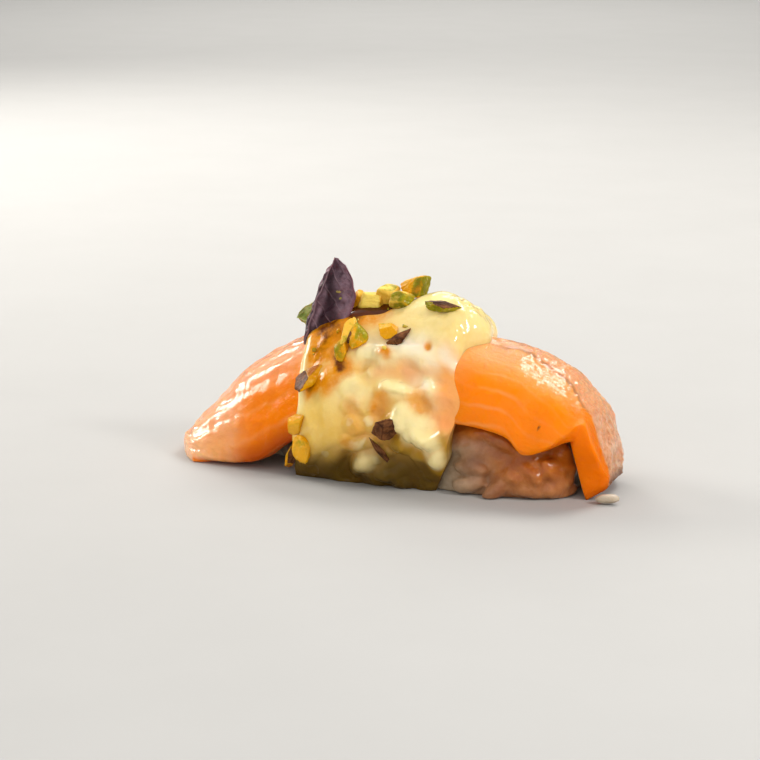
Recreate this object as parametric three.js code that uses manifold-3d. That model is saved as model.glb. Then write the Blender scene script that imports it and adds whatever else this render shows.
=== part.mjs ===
// Salmon nigiri: a thick slice of raw salmon draped over a hand-pressed ball of rice, a spoonful of
// cream sauce run down its front, chopped pistachio on the sauce and two small basil leaves.
//
// Millimetres, +Z up. The origin is the middle of the rice's flat base. +X runs along the nigiri to
// the blunt flap, -X to the long tongue, and -Y is the front, where the sauce runs down.

import * as THREE from 'three';
import { mergeVertices } from 'three/addons/utils/BufferGeometryUtils.js';
import Module from 'manifold-3d';

const wasm = await Module();
wasm.setup();

// ---- driving dimensions -------------------------------------------------------------------------

const GAP = 0.3;                // clearance between neighbouring pieces
const CREST_Y = 0.5;            // the slice's crest line lies in this plane
const FOOT = { y: -11.0, curve: 1.5 }; // where the sauce's underside meets the floor, how late it turns there
const GRAIN = { length: [5.6, 7.2], width: 2.9, height: 2.7, twist: 2.2, tilt: 0.4, sunk: 0.12 };
const GRAIN_FACETS = { around: 6, along: 4 };
const SEED = 7;
const DICE = { times: 1664525, plus: 1013904223, sides: 4294967296 };
const FLOOR_SIZE = 200;         // the block that cuts everything level at the floor
const WELD = 1e-4;              // corners nearer than this are one corner

// The slice from the tip of the tongue (first row) to the end of the flap (last row).
// crest: x, z. near: x, y, z of the front edge, and the degrees that the slice turns down to it.
// far: the same at the back edge. thick: at the crest, the front edge and the back edge.
// upright: 1 where the thickness stands straight up, and left out where it is square to the surface.
const SLICE = [
  { crest: [-42.2, 3.0], near: [-36.5, -10.5, 1.6, 50], far: [-40.0, 9.5, 1.4, 50],
    thick: [3.0, 1.6, 1.4], upright: 1 },
  { crest: [-39.4, 6.0], near: [-34.4, -10.9, 1.0, 72], far: [-37.5, 11.3, 1.0, 70],
    thick: [5.0, 2.8, 2.4], upright: 0.6 },
  { crest: [-35.3, 10.3], near: [-31.0, -11.1, 0.8, 80], far: [-33.5, 12.2, 1.7, 76],
    thick: [6.0, 3.6, 2.8], upright: 0.2 },
  { crest: [-30.4, 15.0], near: [-27.0, -11.3, 1.0, 84], far: [-29.0, 12.8, 3.6, 80],
    thick: [6.0, 4.0, 2.8] },
  { crest: [-25.0, 19.1], near: [-23.2, -11.7, 2.1, 85], far: [-24.0, 13.3, 6.4, 82],
    thick: [5.6, 4.0, 2.8] },
  { crest: [-19.0, 22.2], near: [-18.6, -12.3, 5.4, 84], far: [-18.0, 13.6, 8.8, 82],
    thick: [5.4, 3.4, 2.8] },
  { crest: [-12.0, 24.0], near: [-12.0, -13.2, 8.6, 82], far: [-11.5, 13.8, 10.6, 82],
    thick: [5.4, 3.0, 2.8] },
  { crest: [-4.0, 24.8], near: [-4.0, -13.8, 10.8, 82], far: [-4.0, 14.0, 11.8, 82],
    thick: [5.4, 2.8, 2.8] },
  { crest: [4.0, 24.8], near: [4.0, -14.1, 12.0, 82], far: [4.0, 14.0, 12.4, 82], thick: [5.4, 2.6, 2.8] },
  { crest: [11.0, 24.3], near: [11.0, -14.2, 12.5, 82], far: [11.0, 14.0, 12.4, 82],
    thick: [5.4, 2.6, 2.8] },
  { crest: [17.0, 23.4], near: [17.2, -14.2, 12.1, 82], far: [17.0, 13.9, 12.0, 82],
    thick: [5.4, 2.6, 2.8] },
  { crest: [22.0, 22.2], near: [21.8, -14.2, 11.0, 80], far: [21.5, 13.6, 11.2, 80],
    thick: [5.4, 2.6, 2.8] },
  { crest: [25.5, 20.8], near: [24.6, -13.9, 8.4, 78], far: [25.0, 13.2, 10.0, 78],
    thick: [5.4, 2.6, 2.8] },
  { crest: [28.6, 19.0], near: [28.2, -13.7, 9.4, 76], far: [28.0, 12.6, 9.2, 74], thick: [5.4, 2.8, 2.8] },
  { crest: [31.3, 16.7], near: [31.2, -12.6, 11.7, 68], far: [30.2, 11.8, 8.6, 68],
    thick: [5.4, 2.8, 3.0] },
  { crest: [33.4, 14.2], near: [33.9, -10.9, 13.5, 52], far: [31.8, 11.0, 8.0, 60],
    thick: [5.2, 3.2, 3.2] },
  { crest: [35.0, 11.0], near: [35.2, -9.7, 9.8, 46], far: [33.0, 10.2, 6.6, 52], thick: [5.0, 3.6, 3.4] },
  { crest: [36.0, 7.8], near: [36.3, -8.2, 6.4, 42], far: [33.8, 9.4, 4.8, 46], thick: [5.0, 4.2, 3.6] },
  { crest: [36.5, 4.6], near: [37.1, -7.0, 3.9, 38], far: [34.3, 8.6, 2.9, 42],
    thick: [4.8, 4.6, 3.8], upright: 0.15 },
  { crest: [36.4, 2.2], near: [36.9, -6.3, 2.0, 36], far: [34.4, 8.0, 1.5, 40],
    thick: [4.4, 4.2, 3.8], upright: 0.4 },
];
const SLICE_STEPS = { along: 42, across: 12 };
const SLICE_THINNING = 3;       // how late the slice thins toward its edges
const SLICE_SPREAD = 0.06;      // how much further over its edges the slice reaches for each mm it is grown
const LINING_SMOOTHING = { along: 0.08, across: 0.3 }; // evens out the underside, so that it never folds

// The rice ball: sections at x with their reach to the front and the back, and their height.
const RICE = [
  { x: -28.6, front: 1.0, back: 3.0, height: 2.4 },
  { x: -27.4, front: 1.4, back: 6.0, height: 5.6 },
  { x: -24.0, front: 2.2, back: 8.6, height: 11.2 },
  { x: -18.0, front: 4.6, back: 10.2, height: 15.4 },
  { x: -10.0, front: 8.8, back: 10.9, height: 17.9 },
  { x: 0.0, front: 10.6, back: 11.4, height: 18.7 },
  { x: 10.0, front: 11.8, back: 12.2, height: 18.1 },
  { x: 16.0, front: 12.4, back: 12.5, height: 17.2 },
  { x: 21.5, front: 11.7, back: 12.0, height: 15.7 },
  { x: 25.5, front: 10.8, back: 11.2, height: 13.4 },
  { x: 28.5, front: 9.2, back: 9.8, height: 10.6 },
  { x: 30.4, front: 6.4, back: 7.0, height: 7.0 },
  { x: 31.0, front: 4.0, back: 4.0, height: 4.0 },
];
const RICE_SQUARENESS = 2.4;    // 2 is an ellipse, more is boxier
const GRAIN_ROWS = [            // turn: 0 at the back floor .. 1 at the front floor
  { turn: 0.968, from: 8.0, to: 31.0, count: 6 },
  { turn: 0.912, from: 8.5, to: 30.5, count: 6 },
  { turn: 0.856, from: 10.0, to: 30.0, count: 5 },
  { turn: 0.800, from: 12.0, to: 29.0, count: 4 },
  { turn: 0.032, from: -26.0, to: 31.0, count: 12 },
  { turn: 0.088, from: -25.0, to: 30.5, count: 12 },
  { turn: 0.144, from: -23.0, to: 30.0, count: 11 },
  { turn: 0.198, from: -18.0, to: 29.0, count: 8 },
];
const GRAIN_STAGGER = { along: [0.3, 0.7], turn: 0.02 }; // where a grain lies in its share of the row
const GRAIN_KEPT = 0.55;        // a grain that is cut down to less than this share is left out
const RICE_STEPS = { along: 22, around: 22 };

// The sauce lies on the slice and then runs on down to the floor in front.
// drop: -2 at the floor, -1 at the slice's front edge, 0 on the crest, 1 at the slice's back edge.
// left, right: how far along the slice (0 tip, 1 flap) it reaches there. deep: its thickness.
const SAUCE = [
  { drop: -2.0, left: 0.280, right: 0.457, deep: 1.3 },
  { drop: -1.6, left: 0.281, right: 0.474, deep: 1.8 },
  { drop: -1.2, left: 0.283, right: 0.484, deep: 1.9 },
  { drop: -0.9, left: 0.283, right: 0.494, deep: 1.6 },
  { drop: -0.6, left: 0.284, right: 0.482, deep: 1.5 },
  { drop: -0.35, left: 0.278, right: 0.480, deep: 2.4 },
  { drop: -0.1, left: 0.278, right: 0.500, deep: 3.6 },
  { drop: 0.2, left: 0.298, right: 0.494, deep: 3.6 },
  { drop: 0.5, left: 0.330, right: 0.470, deep: 2.2 },
];
const SAUCE_STEPS = { along: 22, down: 30 };
const FLOOR_DROP = -2;          // the drop at the floor
const SAUCE_LEAST = 0.6;        // the sauce is nowhere thinner than this inside its rim
const SAUCE_INSIDE = 4.5;       // how deep the uncut sauce reaches into what it lies on

// Swellings and hollows of the sauce, each a soft capsule from one place to another.
const SAUCE_FORMS = [
  { name: 'dome', from: [0.432, -0.02], to: [0.454, -0.16], high: 2.6, radius: 5.6 },
  { name: 'thin window', from: [0.428, -0.67], to: [0.476, -0.62], high: -1.1, radius: 2.6 },
  { name: 'lower window', from: [0.455, -0.88], to: [0.476, -0.84], high: -0.9, radius: 2.0 },
  { name: 'upper ridge', from: [0.392, -0.52], to: [0.476, -0.49], high: 0.9, radius: 1.5 },
  { name: 'lower ridge', from: [0.400, -0.81], to: [0.470, -0.78], high: 1.0, radius: 1.5 },
  { name: 'peak', from: [0.460, -0.75], to: [0.463, -0.74], high: 0.8, radius: 1.3 },
  { name: 'upper drip', from: [0.429, -0.98], to: [0.458, -1.18], high: 1.2, radius: 2.4 },
  { name: 'lower drip', from: [0.458, -1.18], to: [0.472, -1.58], high: 0.9, radius: 2.2 },
  { name: 'left bulge', from: [0.335, -0.70], to: [0.335, -1.15], high: 1.3, radius: 4.0 },
  { name: 'blob', from: [0.378, -1.54], to: [0.380, -1.56], high: 1.1, radius: 2.4 },
  { name: 'recess', from: [0.415, -1.55], to: [0.442, -1.82], high: -0.8, radius: 2.6 },
];
// The sauce's rim: shares of its length at the foot and the back, the least share of its depth there,
// and how late it turns down at its sides.
const RIM = { foot: 0.09, back: 0.12, left: 0.35, late: 5 };
const SLICE_RUN = 143;          // length of the slice along its crest per unit, for the capsules
const EDGE_RUN = 22;            // from the crest down to the front edge
const DROP_RUN = 12;            // from the front edge down to the floor

// Chopped pistachio: place on the sauce, size along, across and through, turn on the surface, and
// how far it is lifted where it lies on other pieces.
const NUT = { cuts: 7, cutAt: [0.24, 0.38], proud: 0.22, facets: 1 };
const PISTACHIO = [
  { at: [0.294, -0.92], size: [4.0, 3.4, 2.6], turn: 10, lift: 0 },
  { at: [0.304, -1.19], size: [5.0, 3.2, 2.6], turn: 80, lift: 0 },
  { at: [0.279, -1.42], size: [4.4, 1.9, 1.8], turn: 50, lift: 0 },
  { at: [0.306, -0.645], size: [5.8, 4.0, 2.4], turn: 22, lift: 0 },
  { at: [0.3445, -0.345], size: [6.6, 2.4, 2.6], turn: 78, lift: 0.1 },
  { at: [0.343, -0.475], size: [5.4, 2.6, 2.6], turn: 86, lift: 0 },
  { at: [0.356, -0.40], size: [5.2, 3.2, 2.8], turn: 102, lift: 0 },
  { at: [0.389, -0.35], size: [4.4, 3.2, 2.0], turn: 125, lift: 0 },
  { at: [0.401, -0.42], size: [4.9, 2.0, 1.8], turn: 47, lift: 0 },
  { at: [0.440, -0.19], size: [6.8, 3.4, 2.2], turn: 0, lift: 0 },
  { at: [0.396, 0.02], size: [5.2, 4.2, 3.8], turn: 30, lift: 0.3 },
  { at: [0.354, -0.06], size: [5.4, 3.8, 3.0], turn: 15, lift: 0.1 },
  { at: [0.370, -0.03], size: [4.8, 3.8, 4.0], turn: 50, lift: 0.3 },
  { at: [0.386, -0.09], size: [4.4, 3.2, 2.8], turn: 20, lift: 0.2 },
  { at: [0.334, -0.03], size: [3.8, 3.2, 3.4], turn: 100, lift: 0.2 },
  { at: [0.410, -1.02], size: [4.5, 3.8, 2.4], turn: 50, lift: 0 },
  { at: [0.399, -1.38], size: [5.4, 1.7, 1.6], turn: 118, lift: 0 },
  { at: [0.366, 0.26], size: [4.6, 3.4, 2.6], turn: 60, lift: 0 },
  { at: [0.410, 0.30], size: [4.0, 3.0, 2.4], turn: 130, lift: 0 },
];

// Leaves: base and tip, the width of each half, the way it faces out from the midrib, thickness.
const PURPLE_LEAF = {
  base: [-17.3, -5.5, 21.4],
  tip: [-12.6, -2.7, 36.2],
  right: [0.96, 0.04, -0.12],
  left: [-0.45, 0.80, 0.10],
  half: { right: 6.2, left: 4.4 },
  thick: 0.5,
};
const GREEN_LEAF = {
  base: [-14.2, 1.6, 23.9],
  tip: [-21.5, 0.5, 24.9],
  right: [0.15, -0.25, 0.95],
  left: [0.05, 0.60, -0.75],
  half: { right: 3.7, left: 3.7 },
  thick: 0.45,
};
// A leaf's outline: the widths of its stalk and point as shares of the blade, how near the tip each
// half is widest, how full the blade is, and how much it thins. Its rim waves, and the leaf is bowed.
const LEAF = { stalk: 0.18, point: 0.03, widest: { right: 0.85, left: 0.68 }, full: 0.8, thinning: 0.5 };
const LEAF_WAVE = { high: 0.25, along: 9, across: 2 };
const LEAF_BOW = 0.6;
const LEAF_STEPS = { along: 14, across: 4 };
const NEAR_BY = 0.005;          // a short step over a surface, to find which way it runs
const NEARER_BY = 0.002;        // a shorter one, to find which way it faces
const FINISH = {                // colour and roughness
  salmon_slice: [0xf08a4b, 0.35],
  rice: [0xf1ece0, 0.5],
  cream_sauce: [0xf0e3a8, 0.3],
  purple_leaf: [0x4a2a3e, 0.4],
  green_leaf: [0x6d9a45, 0.5],
};

// ---- small tools --------------------------------------------------------------------------------

/** Seeded random numbers in 0..1. */
function dice(seed) {
  let state = seed;
  return () => {
    state = (state * DICE.times + DICE.plus) % DICE.sides;
    return state / DICE.sides;
  };
}

/** A smooth curve through equal steps of numbers, at t in 0..1. */
function smooth(numbers, t) {
  const last = numbers.length - 1;
  const place = THREE.MathUtils.clamp(t, 0, 1) * last;
  const i = Math.min(Math.floor(place), last - 1);
  const f = place - i;
  const b = numbers[i];
  const c = numbers[i + 1];
  const a = i > 0 ? numbers[i - 1] : 2 * b - c;
  const d = i + 2 <= last ? numbers[i + 2] : 2 * c - b;
  const bend = (2 * a - 5 * b + 4 * c - d) * f * f + (3 * b - a - 3 * c + d) * f ** 3;
  return 0.5 * (2 * b + (c - a) * f + bend);
}

const SLICE_COLUMNS = SLICE.map((row) => (
  [...row.crest, ...row.near, ...row.far, ...row.thick, row.upright ?? 0]
));

/** Every number of the slice's rows at u, as one flat list. */
function sliceRow(u) {
  return SLICE_COLUMNS[0].map((_, k) => smooth(SLICE_COLUMNS.map((row) => row[k]), u));
}

/** A closed body between two grids of points, skin outside and lining inside. */
function shell(skin, lining, rows, columns) {
  const points = [];
  for (const face of [skin, lining]) {
    for (let i = 0; i <= rows; i++) {
      for (let j = 0; j <= columns; j++) points.push(face(i / rows, j / columns));
    }
  }
  const wide = columns + 1;
  const below = (rows + 1) * wide;
  const faces = [];
  const quad = (a, b, c, d) => faces.push(a, b, c, a, c, d);
  for (let i = 0; i < rows; i++) {
    for (let j = 0; j < columns; j++) {
      const a = i * wide + j;
      quad(a, a + wide, a + wide + 1, a + 1);
      quad(below + a, below + a + 1, below + a + wide + 1, below + a + wide);
    }
  }
  for (let i = 0; i < rows; i++) {
    const a = i * wide;
    const b = a + columns;
    quad(a, below + a, below + a + wide, a + wide);
    quad(b, b + wide, below + b + wide, below + b);
  }
  for (let j = 0; j < columns; j++) {
    const c = rows * wide + j;
    quad(j, j + 1, below + j + 1, below + j);
    quad(c, below + c, below + c + 1, c + 1);
  }
  const geometry = new THREE.BufferGeometry().setFromPoints(points);
  geometry.setIndex(faces);
  return geometry;
}

/** Turns a closed geometry into a solid for joining and cutting. */
function toSolid(geometry) {
  const bare = geometry.clone();
  bare.deleteAttribute('normal');
  bare.deleteAttribute('uv');
  const merged = mergeVertices(bare, WELD);
  return new wasm.Manifold(new wasm.Mesh({
    numProp: 3,
    vertProperties: new Float32Array(merged.attributes.position.array),
    triVerts: new Uint32Array(merged.index.array),
  }));
}

/** Turns a solid back into a geometry. */
function toGeometry(solid) {
  const mesh = solid.getMesh();
  const geometry = new THREE.BufferGeometry();
  geometry.setAttribute('position', new THREE.BufferAttribute(mesh.vertProperties, 3));
  geometry.setIndex(new THREE.BufferAttribute(mesh.triVerts, 1));
  geometry.computeVertexNormals();
  return geometry;
}

/** The largest loose part of a solid. */
function largest(solid) {
  return solid.decompose().sort((a, b) => b.volume() - a.volume())[0];
}

// ---- salmon slice -------------------------------------------------------------------------------

/** The slice's upper surface: u 0 tip .. 1 flap, v -1 front edge .. 0 crest .. 1 back edge. */
function slicePoint(u, v) {
  const row = sliceRow(u);
  const side = v < 0 ? 2 : 6;
  const [edgeX, edgeY, edgeZ, degrees] = row.slice(side, side + 4);
  const turn = THREE.MathUtils.degToRad(degrees);
  const angle = Math.abs(v) * turn;
  const across = Math.sin(angle) / Math.sin(turn);
  const drop = (1 - Math.cos(angle)) / (1 - Math.cos(turn));
  return new THREE.Vector3(
    row[0] + (edgeX - row[0]) * drop,
    CREST_Y + (edgeY - CREST_Y) * across,
    row[1] + (edgeZ - row[1]) * drop,
  );
}

/** The outward direction of a surface given as point(u, v), with v no lower than the floor. */
function outward(point, u, v, stepU = NEARER_BY, stepV = NEARER_BY) {
  const along = point(Math.min(u + stepU, 1), v).sub(point(Math.max(u - stepU, 0), v));
  const across = point(u, v + stepV).sub(point(u, Math.max(v - stepV, FLOOR_DROP)));
  return along.cross(across).normalize();
}

/** The slice's upper surface lifted by some amount. */
function sliceSkin(u, v, lift) {
  return slicePoint(u, v).addScaledVector(outward(slicePoint, u, v), lift);
}

/** The slice's underside, lowered by some amount, and never under the floor. */
function sliceLining(u, v, lower) {
  const row = sliceRow(u);
  const [crestThick, nearThick, farThick, upright] = row.slice(10);
  const towardEdge = Math.abs(v) ** SLICE_THINNING;
  const thick = THREE.MathUtils.lerp(crestThick, v < 0 ? nearThick : farThick, towardEdge);
  const away = outward(slicePoint, u, v, LINING_SMOOTHING.along, LINING_SMOOTHING.across);
  away.lerp(new THREE.Vector3(0, 0, 1), upright).normalize();
  const point = slicePoint(u, v).addScaledVector(away, -thick - lower);
  point.z = Math.max(point.z, -lower);
  return point;
}

/** The slice, grown all round by some amount. */
function sliceGeometry(grow) {
  const reach = 1 + grow * SLICE_SPREAD;
  const spread = (s) => (2 * s - 1) * reach;
  return shell(
    (u, s) => sliceSkin(u, spread(s), grow),
    (u, s) => sliceLining(u, spread(s), grow),
    SLICE_STEPS.along,
    SLICE_STEPS.across,
  );
}

// ---- rice ---------------------------------------------------------------------------------------

/** The rice ball's surface: t 0 left .. 1 right, turn 0 at the back floor .. 1 at the front floor. */
function ricePoint(t, turn, grow) {
  const x = smooth(RICE.map((row) => row.x), t);
  const height = smooth(RICE.map((row) => row.height), t) + grow;
  const across = Math.cos(turn * Math.PI);
  const up = Math.sin(turn * Math.PI);
  const width = smooth(RICE.map((row) => (across < 0 ? row.front : row.back)), t) + grow;
  const power = 2 / RICE_SQUARENESS;
  const y = width * Math.sign(across) * Math.abs(across) ** power;
  const z = height * Math.sign(up) * Math.abs(up) ** power;
  return new THREE.Vector3(x, y, z);
}

/** The bare ball, mirrored below the floor, where it is cut off later. */
function riceBall(grow) {
  const { along, around } = RICE_STEPS;
  const points = [];
  for (let i = 0; i <= along; i++) {
    for (let j = 0; j < around; j++) points.push(ricePoint(i / along, (2 * j) / around, grow));
  }
  const faces = [];
  for (let i = 0; i < along; i++) {
    for (let j = 0; j < around; j++) {
      const a = i * around + j;
      const b = i * around + ((j + 1) % around);
      faces.push(a, b, b + around, a, b + around, a + around);
    }
  }
  const end = along * around;
  for (let j = 1; j < around - 1; j++) faces.push(0, j + 1, j, end, end + j, end + j + 1);
  const geometry = new THREE.BufferGeometry().setFromPoints(points);
  geometry.setIndex(faces);
  return toSolid(geometry);
}

/** Where along the ball a place x lies, 0 .. 1. */
function riceShare(x) {
  const k = RICE.findIndex((row) => row.x >= x);
  return (k - 1 + (x - RICE[k - 1].x) / (RICE[k].x - RICE[k - 1].x)) / (RICE.length - 1);
}

/** One grain, lying on the ball at x and turn. */
function grainSolid(x, turn, random) {
  const grain = new THREE.SphereGeometry(0.5, GRAIN_FACETS.around, GRAIN_FACETS.along);
  grain.scale(GRAIN.width, THREE.MathUtils.lerp(...GRAIN.length, random()), GRAIN.height);
  grain.rotateZ(Math.PI / 2 + (random() - 0.5) * GRAIN.twist);
  grain.rotateY((random() - 0.5) * GRAIN.tilt);
  const t = riceShare(x);
  const along = ricePoint(t + NEAR_BY, turn, 0).sub(ricePoint(t - NEAR_BY, turn, 0)).normalize();
  const over = ricePoint(t, turn + NEAR_BY, 0).sub(ricePoint(t, turn - NEAR_BY, 0)).normalize();
  const out = new THREE.Vector3().crossVectors(over, along).normalize();
  const side = new THREE.Vector3().crossVectors(out, along);
  const spot = ricePoint(t, turn, 0).addScaledVector(out, -GRAIN.width * GRAIN.sunk);
  grain.applyMatrix4(new THREE.Matrix4().makeBasis(along, side, out).setPosition(spot));
  return toSolid(grain);
}

/** Grains in staggered rows where the ball shows: the front right, the right end and the back. */
function grainSolids(blocked) {
  const random = dice(SEED);
  const grains = [];
  for (const row of GRAIN_ROWS) {
    for (let k = 0; k < row.count; k++) {
      const share = (k + THREE.MathUtils.lerp(...GRAIN_STAGGER.along, random())) / row.count;
      const x = THREE.MathUtils.lerp(row.from, row.to, share);
      const grain = grainSolid(x, row.turn + (random() - 0.5) * GRAIN_STAGGER.turn, random);
      const free = grain.subtract(blocked);
      if (free.volume() > GRAIN_KEPT * grain.volume()) grains.push(largest(free));
    }
  }
  return grains;
}

// ---- sauce --------------------------------------------------------------------------------------

/** The slice's surface carried on from its front edge down to the floor: drop -2 .. 1. */
function moundPoint(u, drop) {
  const point = slicePoint(u, Math.max(drop, -1));
  const below = THREE.MathUtils.clamp(-1 - drop, 0, 1);
  point.y += (FOOT.y - point.y) * below ** FOOT.curve;
  point.z *= 1 - below;
  return point;
}

/** Distance over the mound from the crest, in millimetres. */
function run(drop) {
  return drop > -1 ? drop * EDGE_RUN : (drop + 1) * DROP_RUN - EDGE_RUN;
}

/** What the capsule forms add to the sauce's depth at one place. */
function sauceForms(u, drop) {
  const spot = new THREE.Vector2(u * SLICE_RUN, run(drop));
  let sum = 0;
  for (const form of SAUCE_FORMS) {
    const from = new THREE.Vector2(form.from[0] * SLICE_RUN, run(form.from[1]));
    const to = new THREE.Vector2(form.to[0] * SLICE_RUN, run(form.to[1]));
    const line = to.clone().sub(from);
    const share = THREE.MathUtils.clamp(spot.clone().sub(from).dot(line) / line.lengthSq(), 0, 1);
    const away = spot.distanceTo(from.addScaledVector(line, share));
    sum += form.high * Math.exp(-((away / form.radius) ** 2));
  }
  return sum;
}

/** The sauce's place and depth: s 0 left .. 1 right, t 0 floor .. 1 behind the crest. */
function sauceAt(s, t) {
  const list = (key) => SAUCE.map((row) => row[key]);
  const drop = smooth(list('drop'), t);
  const u = THREE.MathUtils.lerp(smooth(list('left'), t), smooth(list('right'), t), s);
  const sides = Math.sqrt(1 - Math.abs(2 * s - 1) ** RIM.late);
  const foot = Math.sqrt(1 - (1 - Math.min(t / RIM.foot, 1)) ** 2);
  const back = Math.sqrt(1 - Math.max((t - 1) / RIM.back + 1, 0) ** 2);
  const rim = sides * THREE.MathUtils.lerp(RIM.left, 1, foot * back);
  const deep = Math.max(smooth(list('deep'), t) + sauceForms(u, drop), SAUCE_LEAST) * rim;
  return { u, drop, deep };
}

/** The sauce as a thick loaf from deep inside out to its surface, grown by some amount. */
function sauceLoaf(grow) {
  const place = (s, t, lift) => {
    const { u, drop, deep } = sauceAt(s, t);
    const height = lift ?? deep + grow;
    const point = moundPoint(u, drop);
    point.addScaledVector(outward(moundPoint, u, drop), height);
    return point;
  };
  return toSolid(shell(
    (s, t) => place(s, t),
    (s, t) => place(s, t, -SAUCE_INSIDE),
    SAUCE_STEPS.along,
    SAUCE_STEPS.down,
  ));
}

/** A chopped piece of pistachio: a lump with flat broken faces. */
function pistachioSolid(piece, random) {
  const lump = new THREE.IcosahedronGeometry(0.5, NUT.facets);
  lump.deleteAttribute('normal');
  lump.deleteAttribute('uv');
  const body = mergeVertices(lump, WELD);
  const cuts = Array.from({ length: NUT.cuts }, () => ({
    face: new THREE.Vector3(random() - 0.5, random() - 0.5, random() - 0.5).normalize(),
    at: THREE.MathUtils.lerp(...NUT.cutAt, random()),
  }));
  const position = body.attributes.position;
  const corner = new THREE.Vector3();
  for (let k = 0; k < position.count; k++) {
    corner.fromBufferAttribute(position, k);
    for (const { face, at } of cuts) corner.addScaledVector(face, Math.min(at - corner.dot(face), 0));
    position.setXYZ(k, corner.x, corner.y, corner.z);
  }
  body.scale(...piece.size);
  body.rotateZ(THREE.MathUtils.degToRad(piece.turn));
  const [u, drop] = piece.at;
  const spot = moundPoint(u, drop);
  const out = outward(moundPoint, u, drop);
  const along = moundPoint(u + NEAR_BY, drop).sub(moundPoint(u - NEAR_BY, drop)).normalize();
  const up = new THREE.Vector3().crossVectors(out, along).normalize();
  spot.addScaledVector(out, sauceLevel(u, drop) + piece.size[2] * NUT.proud + piece.lift);
  body.applyMatrix4(new THREE.Matrix4().makeBasis(along, up, out).setPosition(spot));
  return toSolid(body);
}

/** How deep the sauce is at a place on the mound. */
function sauceLevel(u, drop) {
  const k = SAUCE.findIndex((row) => row.drop >= drop);
  const t = (k - 1 + (drop - SAUCE[k - 1].drop) / (SAUCE[k].drop - SAUCE[k - 1].drop)) / (SAUCE.length - 1);
  const left = smooth(SAUCE.map((row) => row.left), t);
  const right = smooth(SAUCE.map((row) => row.right), t);
  return sauceAt(THREE.MathUtils.clamp((u - left) / (right - left), 0, 1), t).deep;
}

// ---- leaves -------------------------------------------------------------------------------------

/** A pointed leaf folded along its midrib, with a wavy rim. */
function leafSolid(leaf) {
  const base = new THREE.Vector3(...leaf.base);
  const axis = new THREE.Vector3(...leaf.tip).sub(base);
  const right = new THREE.Vector3(...leaf.right).normalize();
  const left = new THREE.Vector3(...leaf.left).normalize();
  const face = new THREE.Vector3().crossVectors(axis, right.clone().sub(left)).normalize();
  const place = (a, b, offset) => {
    const side = 2 * b - 1;
    const hand = side > 0 ? 'right' : 'left';
    const belly = Math.sin(Math.PI * a ** LEAF.widest[hand]) ** LEAF.full;
    const half = leaf.half[hand] * THREE.MathUtils.lerp(a < 1 ? LEAF.stalk : LEAF.point, 1, belly);
    const wave = LEAF_WAVE.high * Math.sin(LEAF_WAVE.along * a + LEAF_WAVE.across * side) * Math.abs(side);
    const bow = Math.sin(Math.PI * a) * LEAF_BOW;
    const thin = leaf.thick * (1 - LEAF.thinning * Math.abs(side));
    return base.clone().addScaledVector(axis, a)
      .addScaledVector(hand === 'right' ? right : left, Math.abs(side) * half)
      .addScaledVector(face, wave - bow + offset * thin);
  };
  return toSolid(shell(
    (a, b) => place(a, b, 0.5),
    (a, b) => place(a, b, -0.5),
    LEAF_STEPS.along,
    LEAF_STEPS.across,
  ));
}

// ---- the nigiri ---------------------------------------------------------------------------------

/** Names a solid and gives it its material. */
function piece(name, geometry) {
  const [color, roughness] = FINISH[name];
  const mesh = new THREE.Mesh(geometry, new THREE.MeshStandardMaterial({ color, roughness, metalness: 0 }));
  mesh.name = name;
  return mesh;
}

const random = dice(SEED + 1);
const floorBlock = new THREE.BoxGeometry(FLOOR_SIZE, FLOOR_SIZE, FLOOR_SIZE);
const floor = toSolid(floorBlock.translate(0, 0, -FLOOR_SIZE / 2));
const sliceClear = toSolid(sliceGeometry(GAP));
const below = sliceClear.add(riceBall(GAP)).add(floor);
const around = sliceClear.add(sauceLoaf(GAP));

const chopped = PISTACHIO.map((nut) => pistachioSolid(nut, random));
const sauce = chopped.reduce((sum, nut) => sum.add(nut), sauceLoaf(0));
const grains = grainSolids(around.add(floor));
const riceHeap = grains.reduce((sum, grain) => sum.add(grain), riceBall(0).subtract(floor));

const nigiri = new THREE.Group();
nigiri.name = 'salmon_nigiri';
nigiri.add(
  piece('salmon_slice', sliceGeometry(0)),
  piece('rice', toGeometry(largest(riceHeap))),
  piece('cream_sauce', toGeometry(largest(sauce.subtract(below)))),
  piece('purple_leaf', toGeometry(largest(leafSolid(PURPLE_LEAF).subtract(around)))),
  piece('green_leaf', toGeometry(largest(leafSolid(GREEN_LEAF).subtract(around)))),
);

export default nigiri;
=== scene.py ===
# %% [markdown]
# # A salmon nigiri, dressed
#
# A nigiri is a ball of pressed rice with a slice of raw fish laid over it. This one also carries a
# spoonful of cream sauce, chopped pistachio, a brown glaze and two small basil leaves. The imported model
# gives every piece its size and its place, and this file gives them their fine surfaces and finishes.
# Everything is worked out in millimetres, because that is how a cook would measure it, and turned into
# metres when a mesh is made.

# %% Load the frame and keep its box
import math

import bmesh
import bpy
import numpy as np
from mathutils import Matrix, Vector
from mathutils.bvhtree import BVHTree


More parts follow.
